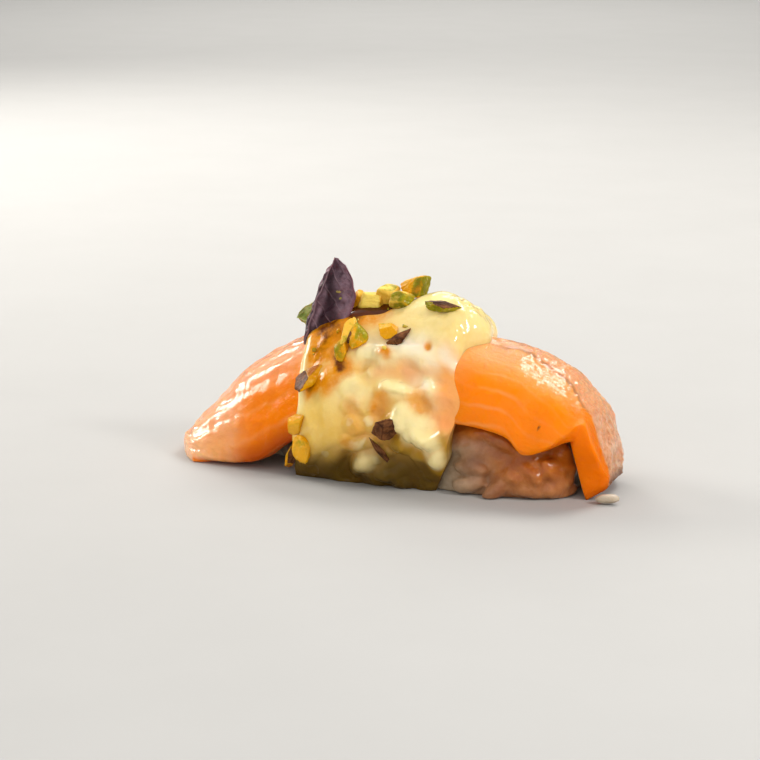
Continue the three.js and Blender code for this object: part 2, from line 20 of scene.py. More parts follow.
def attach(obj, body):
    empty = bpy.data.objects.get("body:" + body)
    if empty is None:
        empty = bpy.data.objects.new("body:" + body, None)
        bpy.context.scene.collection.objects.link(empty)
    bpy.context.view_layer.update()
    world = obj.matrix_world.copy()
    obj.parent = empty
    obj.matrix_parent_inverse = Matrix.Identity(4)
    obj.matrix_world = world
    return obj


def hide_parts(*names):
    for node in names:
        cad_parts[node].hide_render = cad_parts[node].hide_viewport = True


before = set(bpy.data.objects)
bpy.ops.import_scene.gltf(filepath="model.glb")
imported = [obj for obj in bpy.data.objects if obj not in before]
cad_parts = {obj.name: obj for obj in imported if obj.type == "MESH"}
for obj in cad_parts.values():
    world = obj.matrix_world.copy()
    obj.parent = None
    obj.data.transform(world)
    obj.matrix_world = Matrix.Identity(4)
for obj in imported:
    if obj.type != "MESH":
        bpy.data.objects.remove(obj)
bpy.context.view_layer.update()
MM = 0.001
SEED = 7
print("packed nodes:", sorted(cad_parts))

# %% [markdown]
# ## Shared tools for shapes
#
# Each food here is a closed body with a top, an underside and a rim, so each starts as a block of clay
# whose six faces are grids. A formula then pulls every point of the block into place. Working on the
# whole block at once keeps the body closed, and a formula that takes arrays needs no loop over points.

# %% A closed block of grid faces, pulled into place by a formula
def block_lattice(counts):
    """The points and quads of a block's surface. counts is the number of steps along its three edges.
    Returns shares 0..1 of every surface point and the quads, which all face outwards."""
    quads = []
    for axis in range(3):
        one, two = (axis + 1) % 3, (axis + 2) % 3
        a, b = np.meshgrid(np.arange(counts[one]), np.arange(counts[two]), indexing="ij")
        steps = [(0, 0), (1, 0), (1, 1), (0, 1)]
        for end in (0, counts[axis]):
            corners = np.zeros((a.size, 4, 3), int)
            for k, (step_a, step_b) in enumerate(steps if end else steps[::-1]):
                corners[:, k, axis] = end
                corners[:, k, one] = a.ravel() + step_a
                corners[:, k, two] = b.ravel() + step_b
            quads.append(corners)
    quads = np.concatenate(quads)
    size = np.array(counts) + 1
    keys = (quads[..., 0] * size[1] + quads[..., 1]) * size[2] + quads[..., 2]
    unique, index = np.unique(keys, return_inverse=True)
    lattice = np.stack([unique // (size[1] * size[2]), unique // size[2] % size[1], unique % size[2]], -1)
    return lattice / np.array(counts), index.reshape(-1, 4)


def give_fields(mesh, fields):
    """Puts named numbers, one a point, on a mesh."""
    for key, values in fields.items():
        mesh.attributes.new(key, "FLOAT", "POINT").data.foreach_set("value", np.asarray(values, np.float32))


def make_piece(name, points, faces, uv=None, fields=None, weld=False):
    """A smooth mesh object from points in mm. faces is an array with the corners of one face a row, or a
    list of such arrays. uv is one pair a point, fields are named numbers a point. Faces that would point
    inwards are turned round: the sum of a . (b x c) over the first three corners of every face is then
    below zero, as it is a measure of the volume."""
    points = np.asarray(points, float)
    kinds = faces if isinstance(faces, list) else [faces]
    a, b, c = points[np.concatenate([kind[:, :3] for kind in kinds])].swapaxes(0, 1) - points.mean(0)
    if np.sum(a * np.cross(b, c)) < 0:
        kinds = [kind[:, ::-1] for kind in kinds]
    mesh = bpy.data.meshes.new(name)
    mesh.from_pydata((points * MM).tolist(), [], [face for kind in kinds for face in kind.tolist()])
    give_fields(mesh, fields or {})
    if uv is not None:
        corners = np.zeros(len(mesh.loops), np.int32)
        mesh.loops.foreach_get("vertex_index", corners)
        mesh.uv_layers.new(name="flow").uv.foreach_set("vector", np.asarray(uv, np.float32)[corners].ravel())
    if weld:
        work = bmesh.new()
        work.from_mesh(mesh)
        bmesh.ops.remove_doubles(work, verts=work.verts, dist=1e-6)
        bmesh.ops.recalc_face_normals(work, faces=work.faces)
        work.to_mesh(mesh)
        work.free()
    mesh.polygons.foreach_set("use_smooth", np.ones(len(mesh.polygons), bool))
    mesh.update()
    piece = bpy.data.objects.new(name, mesh)
    bpy.context.scene.collection.objects.link(piece)
    low, high = np.min(points, 0), np.max(points, 0)
    print(f"{name}: {len(mesh.polygons)} faces, from {np.round(low, 1)} to {np.round(high, 1)} mm")
    return piece


def repeated(faces, corners, count):
    """The faces of many equal bodies in one mesh: each body's corners are counted on from the last one's."""
    return (faces + corners * np.arange(count)[:, None, None]).reshape(-1, faces.shape[1])


# %% Smooth curves through rows of numbers, and the facing of a surface
def rail(rows, t):
    """A Catmull-Rom curve: row k is met at t = k / (rows - 1), and each stretch between two rows is a
    cubic whose slopes come from the rows before and after. The end rows are mirrored once."""
    rows = np.asarray(rows, float)
    ends = 2 * rows[0] - rows[1], 2 * rows[-1] - rows[-2]
    padded = np.concatenate([ends[0][None], rows, ends[1][None]])
    place = np.clip(np.asarray(t, float), 0, 1) * (len(rows) - 1)
    start = np.minimum(place.astype(int), len(rows) - 2)
    f = place - start
    f = f[..., None] if rows.ndim > 1 else f
    a, b, c, d = (padded[start + k] for k in range(4))
    bend = (2 * a - 5 * b + 4 * c - d) * f**2 + (3 * b - a - 3 * c + d) * f**3
    return 0.5 * (2 * b + (c - a) * f + bend)


def unit(vectors):
    """Vectors of length one."""
    return vectors / np.maximum(np.linalg.norm(vectors, axis=-1, keepdims=True), 1e-9)


LOWEST = -2.0  # v where every surface ends at the latest


def facing(point, u, v, step_u=2e-3, step_v=2e-3):
    """The outward direction of the surface point(u, v): the cross product of its two small steps."""
    along = point(np.minimum(u + step_u, 1), v) - point(np.maximum(u - step_u, 0), v)
    across = point(u, v + step_v) - point(u, np.maximum(v - step_v, LOWEST))
    return unit(np.cross(along, across))


def soft_step(low, high, value):
    """0 below low, 1 above high, and 3f^2 - 2f^3 of the share f between them."""
    f = np.clip((np.asarray(value, float) - low) / (high - low), 0, 1)
    return f * f * (3 - 2 * f)


def capsule(x, y, start, end):
    """The distance of points x, y from the straight line between two places."""
    start, line = np.array(start, float), np.subtract(end, start).astype(float)
    share = ((x - start[0]) * line[0] + (y - start[1]) * line[1]) / max(line @ line, 1e-9)
    share = np.clip(share, 0, 1)
    return np.hypot(x - start[0] - share * line[0], y - start[1] - share * line[1])


RIPPLE_WAVES = 14


def ripple(x, y, size, seed, stretch=1.0):
    """Soft random relief, about -1..1: the mean of waves of one length in seeded random directions.
    size is the wave length in mm, and stretch makes the waves longer along x."""
    random = np.random.default_rng(seed)
    height = np.zeros(np.broadcast(x, y).shape)
    lows, highs = (0, 0, 0.7), (np.pi, 2 * np.pi, 1.4)
    for turn, phase, scale in random.uniform(lows, highs, (RIPPLE_WAVES, 3)):
        wave = 2 * np.pi / (size * scale)
        height += np.sin(wave * (x * np.cos(turn) / stretch + y * np.sin(turn)) + phase)
    return height / RIPPLE_WAVES**0.5 / 1.4

# %% [markdown]
# ## The salmon slice
#
# The slice is cut thick from the fillet and draped along the ball: a long tongue slopes down on the left
# and rests on its blunt tip, and a short flap hangs over the right end. Its shape is a rail of sections.
# Each section turns from the crest down to its front and back edge, so the rows below hold the crest,
# both edges and the angle that the slice turns through. They are the same rows that the solid is made of.

# %% The slice's sections and surfaces
CREST_Y = 0.5
SLICE_ROWS = [
    # crest x, z | front x, y, z, degrees | back x, y, z, degrees | thick at crest, front, back | upright
    [-42.2, 3.0, -36.5, -10.5, 1.6, 50, -40.0, 9.5, 1.4, 50, 3.0, 1.6, 1.4, 1],
    [-39.4, 6.0, -34.4, -10.9, 1.0, 72, -37.5, 11.3, 1.0, 70, 5.0, 2.8, 2.4, 0.6],
    [-35.3, 10.3, -31.0, -11.1, 0.8, 80, -33.5, 12.2, 1.7, 76, 6.0, 3.6, 2.8, 0.2],
    [-30.4, 15.0, -27.0, -11.3, 1.0, 84, -29.0, 12.8, 3.6, 80, 6.0, 4.0, 2.8, 0],
    [-25.0, 19.1, -23.2, -11.7, 2.1, 85, -24.0, 13.3, 6.4, 82, 5.6, 4.0, 2.8, 0],
    [-19.0, 22.2, -18.6, -12.3, 5.4, 84, -18.0, 13.6, 8.8, 82, 5.4, 3.4, 2.8, 0],
    [-12.0, 24.0, -12.0, -13.2, 8.6, 82, -11.5, 13.8, 10.6, 82, 5.4, 3.0, 2.8, 0],
    [-4.0, 24.8, -4.0, -13.8, 10.8, 82, -4.0, 14.0, 11.8, 82, 5.4, 2.8, 2.8, 0],
    [4.0, 24.8, 4.0, -14.1, 12.0, 82, 4.0, 14.0, 12.4, 82, 5.4, 2.6, 2.8, 0],
    [11.0, 24.3, 11.0, -14.2, 12.5, 82, 11.0, 14.0, 12.4, 82, 5.4, 2.6, 2.8, 0],
    [17.0, 23.4, 17.2, -14.2, 12.1, 82, 17.0, 13.9, 12.0, 82, 5.4, 2.6, 2.8, 0],
    [22.0, 22.2, 21.8, -14.2, 11.0, 80, 21.5, 13.6, 11.2, 80, 5.4, 2.6, 2.8, 0],
    [25.5, 20.8, 24.6, -13.9, 8.4, 78, 25.0, 13.2, 10.0, 78, 5.4, 2.6, 2.8, 0],
    [28.6, 19.0, 28.2, -13.7, 9.4, 76, 28.0, 12.6, 9.2, 74, 5.4, 2.8, 2.8, 0],
    [31.3, 16.7, 31.2, -12.6, 11.7, 68, 30.2, 11.8, 8.6, 68, 5.4, 2.8, 3.0, 0],
    [33.4, 14.2, 33.9, -10.9, 13.5, 52, 31.8, 11.0, 8.0, 60, 5.2, 3.2, 3.2, 0],
    [35.0, 11.0, 35.2, -9.7, 9.8, 46, 33.0, 10.2, 6.6, 52, 5.0, 3.6, 3.4, 0],
    [36.0, 7.8, 36.3, -8.2, 6.4, 42, 33.8, 9.4, 4.8, 46, 5.0, 4.2, 3.6, 0],
    [36.5, 4.6, 37.1, -7.0, 3.9, 38, 34.3, 8.6, 2.9, 42, 4.8, 4.6, 3.8, 0.15],
    [36.4, 2.2, 36.9, -6.3, 2.0, 36, 34.4, 8.0, 1.5, 40, 4.4, 4.2, 3.8, 0.4],
]
SLICE_RUN = 143.0  # millimetres along the crest for u from 0 to 1
EDGE_RUN = 22.0  # millimetres from the crest down to an edge, for v from 0 to 1
SLICE_ROUNDING = 0.9  # radius of the slice's edges


def slice_point(u, v):
    """The slice's upper surface. u is 0 at the tip and 1 at the flap, v is -1 at the front edge, 0 on
    the crest and 1 at the back edge. From the crest a section turns by |v| times its full angle: its
    reach grows with the sine of that angle, and its drop with 1 minus the cosine."""
    u, v = np.broadcast_arrays(np.asarray(u, float), np.asarray(v, float))
    row = rail(SLICE_ROWS, u)
    edge = np.where((v < 0)[..., None], row[..., 2:6], row[..., 6:10])
    turn = np.radians(edge[..., 3])
    angle = np.abs(v) * turn
    across = np.sin(angle) / np.sin(turn)
    drop = (1 - np.cos(angle)) / (1 - np.cos(turn))
    x = row[..., 0] + (edge[..., 0] - row[..., 0]) * drop
    y = CREST_Y + (edge[..., 1] - CREST_Y) * across
    z = row[..., 1] + (edge[..., 2] - row[..., 1]) * drop
    return np.stack([x, y, z], -1)


def slice_thickness(u, v):
    """Thick along the crest, and thinner towards each edge by the cube of v."""
    row = rail(SLICE_ROWS, u)
    edge = np.where(v < 0, row[..., 11], row[..., 12])
    share = np.minimum(np.abs(v), 1) ** 3
    return row[..., 10] * (1 - share) + edge * share


def slice_lining(u, v):
    """The slice's underside: the upper surface moved in by the thickness, and never below the floor."""
    upright = rail(SLICE_ROWS, u)[..., 13:14]
    away = facing(slice_point, u, v, 0.08, 0.3)
    away = unit(away * (1 - upright) + np.array([0, 0, 1.0]) * upright)
    point = slice_point(u, v) - away * slice_thickness(u, v)[..., None]
    point[..., 2] = np.maximum(point[..., 2], 0)
    return point


# %% [markdown]
# Raw salmon isn't smooth. The muscle lies in segments whose ends show as long shallow flutes on the
# tongue, and the side that lay against the skin is rough and fibrous behind a thin grey line. The relief
# is a height over the surface, measured in mm along and down the slice.

# %% The flesh: where the grey line runs, and the relief
GREY_LINE = [[0.47, 0.02], [0.515, -0.10], [0.554, -0.085], [0.60, -0.10], [0.66, -0.15],
             [0.714, -0.235], [0.77, -0.46], [0.80, -0.58], [0.825, -0.63], [0.86, -0.68],
             [0.90, -0.73], [0.95, -0.80], [1.0, -0.86]]


def grey_line_distance(u, v):
    """Millimetres from the grey line, above zero on the skin side of it. The line is a curve v of u."""
    line = rail(GREY_LINE, np.linspace(0, 1, 200))
    height = np.interp(u, line[:, 0], line[:, 1])
    slope = np.interp(u, line[1:, 0], np.diff(line[:, 1]) / np.diff(line[:, 0]))
    steep = np.hypot(1, slope * EDGE_RUN / SLICE_RUN)
    return (v - height) * EDGE_RUN / steep


TONGUE_END = 0.30  # u where the tongue's flutes give way


def slice_relief(u, v):
    """Height of the flesh over its smooth form, in mm: a slow swell everywhere, flutes and nicks on the
    tongue, and fibres on the skin side. Tongue and skin side fade in as 1 / (1 + e^-x)."""
    x, y = u * SLICE_RUN, v * EDGE_RUN
    past_line = grey_line_distance(u, v)
    tongue = 1 / (1 + np.exp((u - TONGUE_END) * 40))
    skin = 1 / (1 + np.exp(-past_line * 2)) * (1 - tongue)
    band = soft_step(-5.5, -1.0, past_line) * soft_step(0.46, 0.54, u)
    swell = 0.22 * ripple(x, y, 14, SEED)
    flutes = 0.15 * ripple(x + y, y, 4.6, SEED + 1, 3.2) * tongue
    nicks = 0.085 * ripple(x + y, y, 2.2, SEED + 2, 1.8) * tongue
    fibres = 0.085 * ripple(x, y, 1.9, SEED + 3, 1.6) * (0.15 + 0.6 * band + 0.5 * skin)
    return swell + flutes + nicks + fibres


# %% The slice as a rounded slab bent over the rail
def graded(count, length, radius):
    """Shares 0..1 of a length, with a few close steps inside the rounding at each end."""
    close = np.array([0, 0.12, 0.3, 0.52, 0.76]) * radius / length
    middle = np.linspace(radius / length, 1 - radius / length, count + 1 - 2 * len(close))
    return np.concatenate([close, middle, 1 - close[::-1]])


SLICE_STEPS = (310, 110, 10)
DEPTH_SHARES = np.array([0, 0.04, 0.1, 0.18, 0.3, 0.5, 0.7, 0.82, 0.9, 0.96, 1])
CUT_RIM = 1.2  # millimetres in from an edge over which the cut face shows
SPECK = (0.662, -0.77, 0.42)  # u, v and radius in mm
share, quads = block_lattice(SLICE_STEPS)
index = np.rint(share * SLICE_STEPS).astype(int)
u = graded(SLICE_STEPS[0], SLICE_RUN, SLICE_ROUNDING)[index[:, 0]]
v = 2 * graded(SLICE_STEPS[1], 2 * EDGE_RUN, SLICE_ROUNDING)[index[:, 1]] - 1
thick = slice_thickness(u, v)
local = np.stack([u * SLICE_RUN, (v + 1) * EDGE_RUN, DEPTH_SHARES[index[:, 2]] * thick], -1)
size = np.stack([np.full_like(u, SLICE_RUN), np.full_like(u, 2 * EDGE_RUN), thick], -1)
radius = np.minimum(SLICE_ROUNDING, 0.45 * thick)[:, None]
inner = np.clip(local, radius, size - radius)
local = inner + unit(local - inner) * radius
u = local[:, 0] / SLICE_RUN
v = local[:, 1] / EDGE_RUN - 1
depth = (local[:, 2] / thick)[:, None]
points = slice_point(u, v) * (1 - depth) + slice_lining(u, v) * depth
points += facing(slice_point, u, v) * (slice_relief(u, v) * (1 - depth[:, 0]))[:, None]
points[:, 2] = np.maximum(points[:, 2], 0)

# %% Where the slice's colours change
past_line = grey_line_distance(u, v)
to_edge = np.minimum(local[:, 1], 2 * EDGE_RUN - local[:, 1])
rim = np.maximum(1 - np.clip(to_edge / CUT_RIM, 0, 1), u > 0.985)
flap_side = soft_step(0.79, 0.83, u) * soft_step(-0.1, -0.9, past_line)
speck_distance = np.hypot((u - SPECK[0]) * SLICE_RUN, (v - SPECK[1]) * EDGE_RUN)
salmon = make_piece(
    "salmon_flesh", points, quads, uv=local[:, :2] * 0.1,
    fields={
        "grey_line": past_line,
        "along": u,
        "down": v,
        "cut_face": np.maximum(np.clip(depth[:, 0] * 1.6, 0, 1) * rim, flap_side),
        # Painted shade along the tongue's lower edge.
        "low_shade": soft_step(-0.80, -1.0, v) * soft_step(0.10, 0.20, u) * soft_step(0.36, 0.30, u),
        "speck": np.exp(-((speck_distance / SPECK[2]) ** 4)),
    },
)

# %% [markdown]
# ## The cream sauce
#
# The sauce is thick enough to keep its shape. It lies on the slice, bulges over the crest as a smooth
# dome, and runs down the front to the floor in ridges and drips with thin hollows between them. It is
# worked out over the mound: the slice's surface, carried on from its front edge down to the floor.

# %% The mound and the sauce's depth
FOOT_Y = -11.0
DROP_RUN = 12.0  # millimetres from the slice's front edge down to the floor
SAUCE_ROWS = [
    # drop, left, right, deep. drop is -2 at the floor, -1 at the front edge, 0 on the crest
    [-2.0, 0.280, 0.457, 1.3],
    [-1.6, 0.281, 0.474, 1.8],
    [-1.2, 0.283, 0.484, 1.9],
    [-0.9, 0.283, 0.494, 1.6],
    [-0.6, 0.284, 0.482, 1.5],
    [-0.35, 0.278, 0.480, 2.4],
    [-0.1, 0.278, 0.500, 3.6],
    [0.2, 0.298, 0.494, 3.6],
    [0.5, 0.330, 0.470, 2.2],
]
# Swellings and hollows as soft capsules: from, to, height and radius in mm.
SAUCE_FORMS = {
    "dome": ([0.432, -0.02], [0.454, -0.16], 2.6, 5.6),
    "thin window": ([0.428, -0.67], [0.476, -0.62], -1.1, 2.6),
    "lower window": ([0.455, -0.88], [0.476, -0.84], -0.9, 2.0),
    "upper ridge": ([0.392, -0.52], [0.476, -0.49], 0.9, 1.5),
    "lower ridge": ([0.400, -0.81], [0.470, -0.78], 1.0, 1.5),
    "peak": ([0.460, -0.75], [0.463, -0.74], 0.8, 1.3),
    "upper drip": ([0.429, -0.98], [0.458, -1.18], 1.2, 2.4),
    "lower drip": ([0.458, -1.18], [0.472, -1.58], 0.9, 2.2),
    "left bulge": ([0.335, -0.70], [0.335, -1.15], 1.3, 4.0),
    "blob": ([0.378, -1.54], [0.380, -1.56], 1.1, 2.4),
    "recess": ([0.415, -1.55], [0.442, -1.82], -0.8, 2.6),
}
THINNEST = 0.6  # millimetres of sauce over the slice


def mound_point(u, drop):
    """The slice's surface, and below its front edge a wall that curves in to the floor."""
    point = slice_point(u, np.maximum(drop, -1))
    below = np.clip(-1 - np.asarray(drop, float), 0, 1)
    y = point[..., 1] + (FOOT_Y - point[..., 1]) * below**1.5
    return np.stack([point[..., 0], y, point[..., 2] * (1 - below)], -1)


def run_down(drop):
    """Millimetres over the mound from the crest, below zero towards the front."""
    return np.where(drop > -1, drop * EDGE_RUN, (drop + 1) * DROP_RUN - EDGE_RUN)


def soft_spot(u, drop, start, end, radius, power):
    """1 on the line between two places (u, drop), and exp(-(distance / radius)^power) away from it, with
    the distance in mm over the mound."""
    places = [(place[0] * SLICE_RUN, float(run_down(np.array(place[1])))) for place in (start, end)]
    return np.exp(-((capsule(u * SLICE_RUN, run_down(drop), *places) / radius) ** power))


def forms_height(forms, u, drop, power=2):
    """What soft capsules add to the depth: each is its height times a soft spot, and they are added up."""
    return sum(
        high * soft_spot(u, drop, start, end, radius, power) for start, end, high, radius in forms.values()
    )


def film_share(s, drop):
    """How far the sauce has thinned to a film: only at its right side, between the dome and the drip."""
    return soft_step(0.60, 1.0, s) * soft_step(-0.36, -0.50, drop) * soft_step(-1.16, -0.98, drop)


def sauce_at(s, t):
    """Place and depth of the sauce: s 0 left .. 1 right, t 0 floor .. 1 behind the crest. The depth falls
    to nothing at both sides as the root of 1 - |2s - 1|^5, and to about a third at the foot and back."""
    drop, left, right, deep = np.moveaxis(rail(SAUCE_ROWS, t), -1, 0)
    u = left + (right - left) * s
    sides = np.sqrt(np.maximum(1 - np.abs(2 * s - 1) ** 5, 0))
    foot = np.sqrt(1 - (1 - np.minimum(t / 0.09, 1)) ** 2)
    back = np.sqrt(np.maximum(1 - np.maximum((t - 1) / 0.12 + 1, 0) ** 2, 0))
    rim = sides * (0.35 + 0.65 * foot * back)
    film = 1 - 0.74 * film_share(s, drop)
    return u, drop, np.maximum(deep + forms_height(SAUCE_FORMS, u, drop), THINNEST) * rim * film, rim * film


def sauce_level(u, drop):
    """How deep the sauce is at a place on the mound, found by turning the rows' drop back into t."""
    t = np.interp(drop, [row[0] for row in SAUCE_ROWS], np.linspace(0, 1, len(SAUCE_ROWS)))
    left, right = rail([row[1] for row in SAUCE_ROWS], t), rail([row[2] for row in SAUCE_ROWS], t)
    return sauce_at(np.clip((u - left) / (right - left), 0, 1), t)[2]


def over_mound(u, drop, height):
    """The points at a height in mm over places on the mound."""
    return mound_point(u, drop) + facing(mound_point, u, drop) * height[:, None]


# %% [markdown]
# The fine forms come on top: raised rims round the hollows, small folds in the drips and a gentle
# unevenness everywhere. They are too small for the solid, but they are what catches the light.

# %% The sauce's mesh
FOLDS = {
    "left lip": ([0.288, -0.30], [0.292, -0.62], 0.35, 1.0),
    "left lip low": ([0.290, -0.72], [0.294, -0.84], 0.3, 0.8),
    "pink hollow": ([0.420, -0.60], [0.431, -0.71], -0.8, 1.3),
    "faint hollow": ([0.444, -0.605], [0.466, -0.60], -0.4, 1.1),
    "brown hollow": ([0.400, -0.83], [0.397, -0.92], -0.5, 1.2),
    "amber hollow": ([0.441, -0.84], [0.449, -0.89], -0.6, 1.2),
    "crease by the blob": ([0.357, -1.42], [0.351, -1.90], -1.1, 1.0),
    "groove under the drip": ([0.418, -1.16], [0.452, -1.34], -0.6, 1.0),
    "pit by the stick": ([0.404, -0.50], [0.406, -0.51], -0.5, 0.8),
    "pit by the nut": ([0.368, -0.60], [0.372, -0.56], -0.6, 0.9),
    "pit on the shoulder": ([0.439, -0.43], [0.440, -0.44], -0.7, 0.6),
}
CURDS = {
    "drip's left lobe": ([0.430, -0.96], [0.441, -1.08], 0.5, 2.4),
    "drip's middle lobe": ([0.449, -1.07], [0.453, -1.12], 0.3, 2.3),
    "drip's right lobe": ([0.462, -1.12], [0.466, -1.46], 0.5, 1.7),
    "upper ridge": ([0.366, -0.50], [0.472, -0.48], 0.35, 1.2),
    "lower ridge": ([0.402, -0.74], [0.428, -0.765], 0.5, 1.0),
    "peak": ([0.449, -0.70], [0.453, -0.74], 0.6, 0.9),
    "left curd": ([0.362, -0.76], [0.374, -0.80], 0.5, 1.6),
    "orange lump": ([0.362, -0.86], [0.372, -0.92], 0.4, 1.2),
    "second orange lump": ([0.366, -0.98], [0.372, -1.04], 0.35, 1.1),
    "low lump": ([0.360, -1.20], [0.368, -1.26], 0.4, 1.4),
    "blob": ([0.380, -1.50], [0.383, -1.54], 0.5, 1.8),
}
SAUCE_STEPS = (200, 250, 8)


def fine_sauce(u, drop):
    """Folds as capsules that fade with the square of the distance, curds that fade with its sixth power and
    so have steep sides, two sizes of soft unevenness, and small lumps: the absolute value of a ripple gives
    rounded lumps with creases between them. They lie right of the middle and along the foot."""
    x, y = u * SLICE_RUN, run_down(drop)
    height = 0.16 * ripple(x, y, 7, SEED + 4) + 0.05 * ripple(x, y, 2.6, SEED + 5)
    dome = soft_step(0.425, 0.45, u) * soft_step(-0.46, -0.36, drop)
    height += (0.20 * ripple(x, y, 2.7, SEED + 13) + 0.09 * ripple(x, y, 1.5, SEED + 15)) * dome
    lumpy = soft_step(0.350, 0.385, u) * soft_step(-0.34, -0.50, drop) * soft_step(-0.4, -1.3, drop)
    foot = soft_step(-1.05, -1.45, drop)
    lumps = [(0.75, 6.4, 9, 0.3, lumpy), (0.24, 3.0, 10, 0.1, lumpy), (1.3, 8.5, 11, 0.6, foot)]
    for high, size, seed, sunk, where in lumps:
        height += (high * np.abs(ripple(x, y, size, SEED + seed)) - sunk) * where
    return height + forms_height(FOLDS, u, drop) + forms_height(CURDS, u, drop, 6)


share, quads = block_lattice(SAUCE_STEPS)
# The steps from side to side are closer at both sides, where the sauce is round.
s = 0.5 - 0.5 * np.cos(np.pi * share[:, 0]) * (1 + 0.25 * np.sin(np.pi * share[:, 0]) ** 2)
s = np.clip(s, 0, 1)
u, drop, deep, rim = sauce_at(s, share[:, 1])
# Both side rims wander by half a millimetre.
u = u + 0.004 * ripple(run_down(drop), 0 * drop, 5, SEED + 6) * (2 * s - 1) ** 2
fine = fine_sauce(u, drop)
top = np.maximum(deep + fine * rim, THINNEST * rim)
# The underside is sunk into the slice, and deeper below its front edge.
sunk = 0.25 + 2.2 * np.clip(-(drop + 0.9) / 0.4, 0, 1)
points = over_mound(u, drop, top * share[:, 2] - sunk * (1 - share[:, 2]))
points[:, 2] = np.maximum(points[:, 2], 0)

# %% [markdown]
# The sauce's colours lie in soft patches: amber where glaze has soaked in, pink where the salmon shows
# through, pale and milky on the ridges, partly as a painted highlight, and painted shade under the drip's
# lobes and at the foot. Two amber patches below the nuts at the left rim are partly painted shade. Each patch
# is a soft capsule like the forms above, so a table holds them, and the strongest patch at a point gives the
# mask there.

# %% Where the sauce's colours change
PATCHES = {
    # share, from u, drop, to u, drop, radius in mm
    "amber": [
        (1.0, 0.360, -0.08, 0.338, -0.14, 2.8),
        (0.66, 0.352, -0.12, 0.312, -0.30, 4.2),
        (0.66, 0.318, -0.30, 0.310, -0.50, 2.4),
        (0.42, 0.330, -0.48, 0.334, -0.58, 2.4),
        (0.80, 0.337, -0.52, 0.346, -0.62, 1.2),
        # These two are partly glaze and partly painted shade just below the nuts at the left rim.
        (0.5, 0.350, -0.62, 0.334, -0.72, 1.8),
        (0.6, 0.310, -0.72, 0.330, -0.70, 1.5),
        (0.34, 0.441, -0.82, 0.449, -0.88, 1.9),
        (0.45, 0.399, -0.83, 0.396, -0.92, 1.5),
        (0.5, 0.439, -0.43, 0.440, -0.44, 0.6),
        (0.22, 0.366, -0.88, 0.372, -1.02, 2.0),
        (0.25, 0.362, -1.20, 0.366, -1.30, 1.8),
        (0.45, 0.391, -0.50, 0.395, -0.52, 1.0),
    ],
    "pink": [
        (1.15, 0.420, -0.59, 0.430, -0.67, 1.9),
        (0.8, 0.443, -0.605, 0.468, -0.60, 1.6),
        (0.5, 0.388, -0.63, 0.416, -0.64, 1.6),
        (0.5, 0.476, -0.86, 0.490, -1.05, 2.6),
    ],
    "pale ridges": [
        (0.95, 0.366, -0.50, 0.474, -0.475, 1.8),
        (1.0, 0.402, -0.74, 0.428, -0.765, 1.6),
        (1.0, 0.449, -0.70, 0.454, -0.74, 1.5),
        (0.7, 0.362, -0.76, 0.374, -0.80, 2.0),
        (0.75, 0.381, -1.50, 0.383, -1.54, 1.8),
        (0.25, 0.470, -0.22, 0.420, -0.05, 6.0),
        # Paler along the left rim: a thin film, with a painted highlight.
        (0.8, 0.288, -0.38, 0.294, -0.80, 1.2),
        (0.7, 0.408, -0.46, 0.428, -0.40, 2.2),
    ],
    # Milky patches, whiter partly as a painted highlight on the upper ridge band.
    "milk_and_sheen": [
        (0.85, 0.400, -0.43, 0.430, -0.46, 2.0),
        (0.60, 0.442, -0.48, 0.452, -0.56, 1.8),
        (0.85, 0.460, -0.46, 0.476, -0.50, 1.5),
        (0.70, 0.436, -0.68, 0.448, -0.72, 1.4),
        (0.45, 0.362, -0.42, 0.388, -0.47, 1.6),
    ],
    "drip's lobes": [
        (1.0, 0.430, -0.96, 0.442, -1.10, 2.6),
        (1.0, 0.447, -1.05, 0.453, -1.13, 2.4),
        (1.0, 0.461, -1.10, 0.466, -1.50, 1.9),
    ],
    # Painted shade under the drip's lobes.
    "under the lobes": [
        (1.0, 0.426, -0.98, 0.440, -1.16, 3.3),
        (1.0, 0.448, -1.10, 0.456, -1.24, 3.1),
        (1.0, 0.462, -1.16, 0.471, -1.55, 2.5),
    ],
    "foot shade": [(0.8, 0.420, -1.32, 0.446, -1.75, 3.0)],
}


def patches(name, power=2):
    """The strongest of one kind of patches at every point of the sauce: the share times the soft spot."""
    return np.maximum.reduce([
        share * soft_spot(u, drop, (from_u, from_drop), (to_u, to_drop), radius, power)
        for share, from_u, from_drop, to_u, to_drop, radius in PATCHES[name]
    ])


amber, pink, milk_and_sheen = patches("amber"), patches("pink"), patches("milk_and_sheen")
pale = np.maximum(patches("pale ridges"), patches("drip's lobes", 6))
thinned = film_share(s, drop)
mustard = np.maximum(0.8 * soft_step(-0.50, -1.05, drop), 0.6 * soft_step(0.335, 0.300, u))
mustard = np.maximum(mustard, 0.3 * soft_step(-0.10, -0.34, drop))
# Painted shade in the creases of the fine relief.
crease = soft_step(0.02, -0.30, fine) * soft_step(0.335, 0.36, u) * soft_step(-0.3, -0.45, drop)
foot_shade = np.maximum(soft_step(-1.04, -1.68, drop), patches("foot shade")) * (1 - 0.8 * pale)
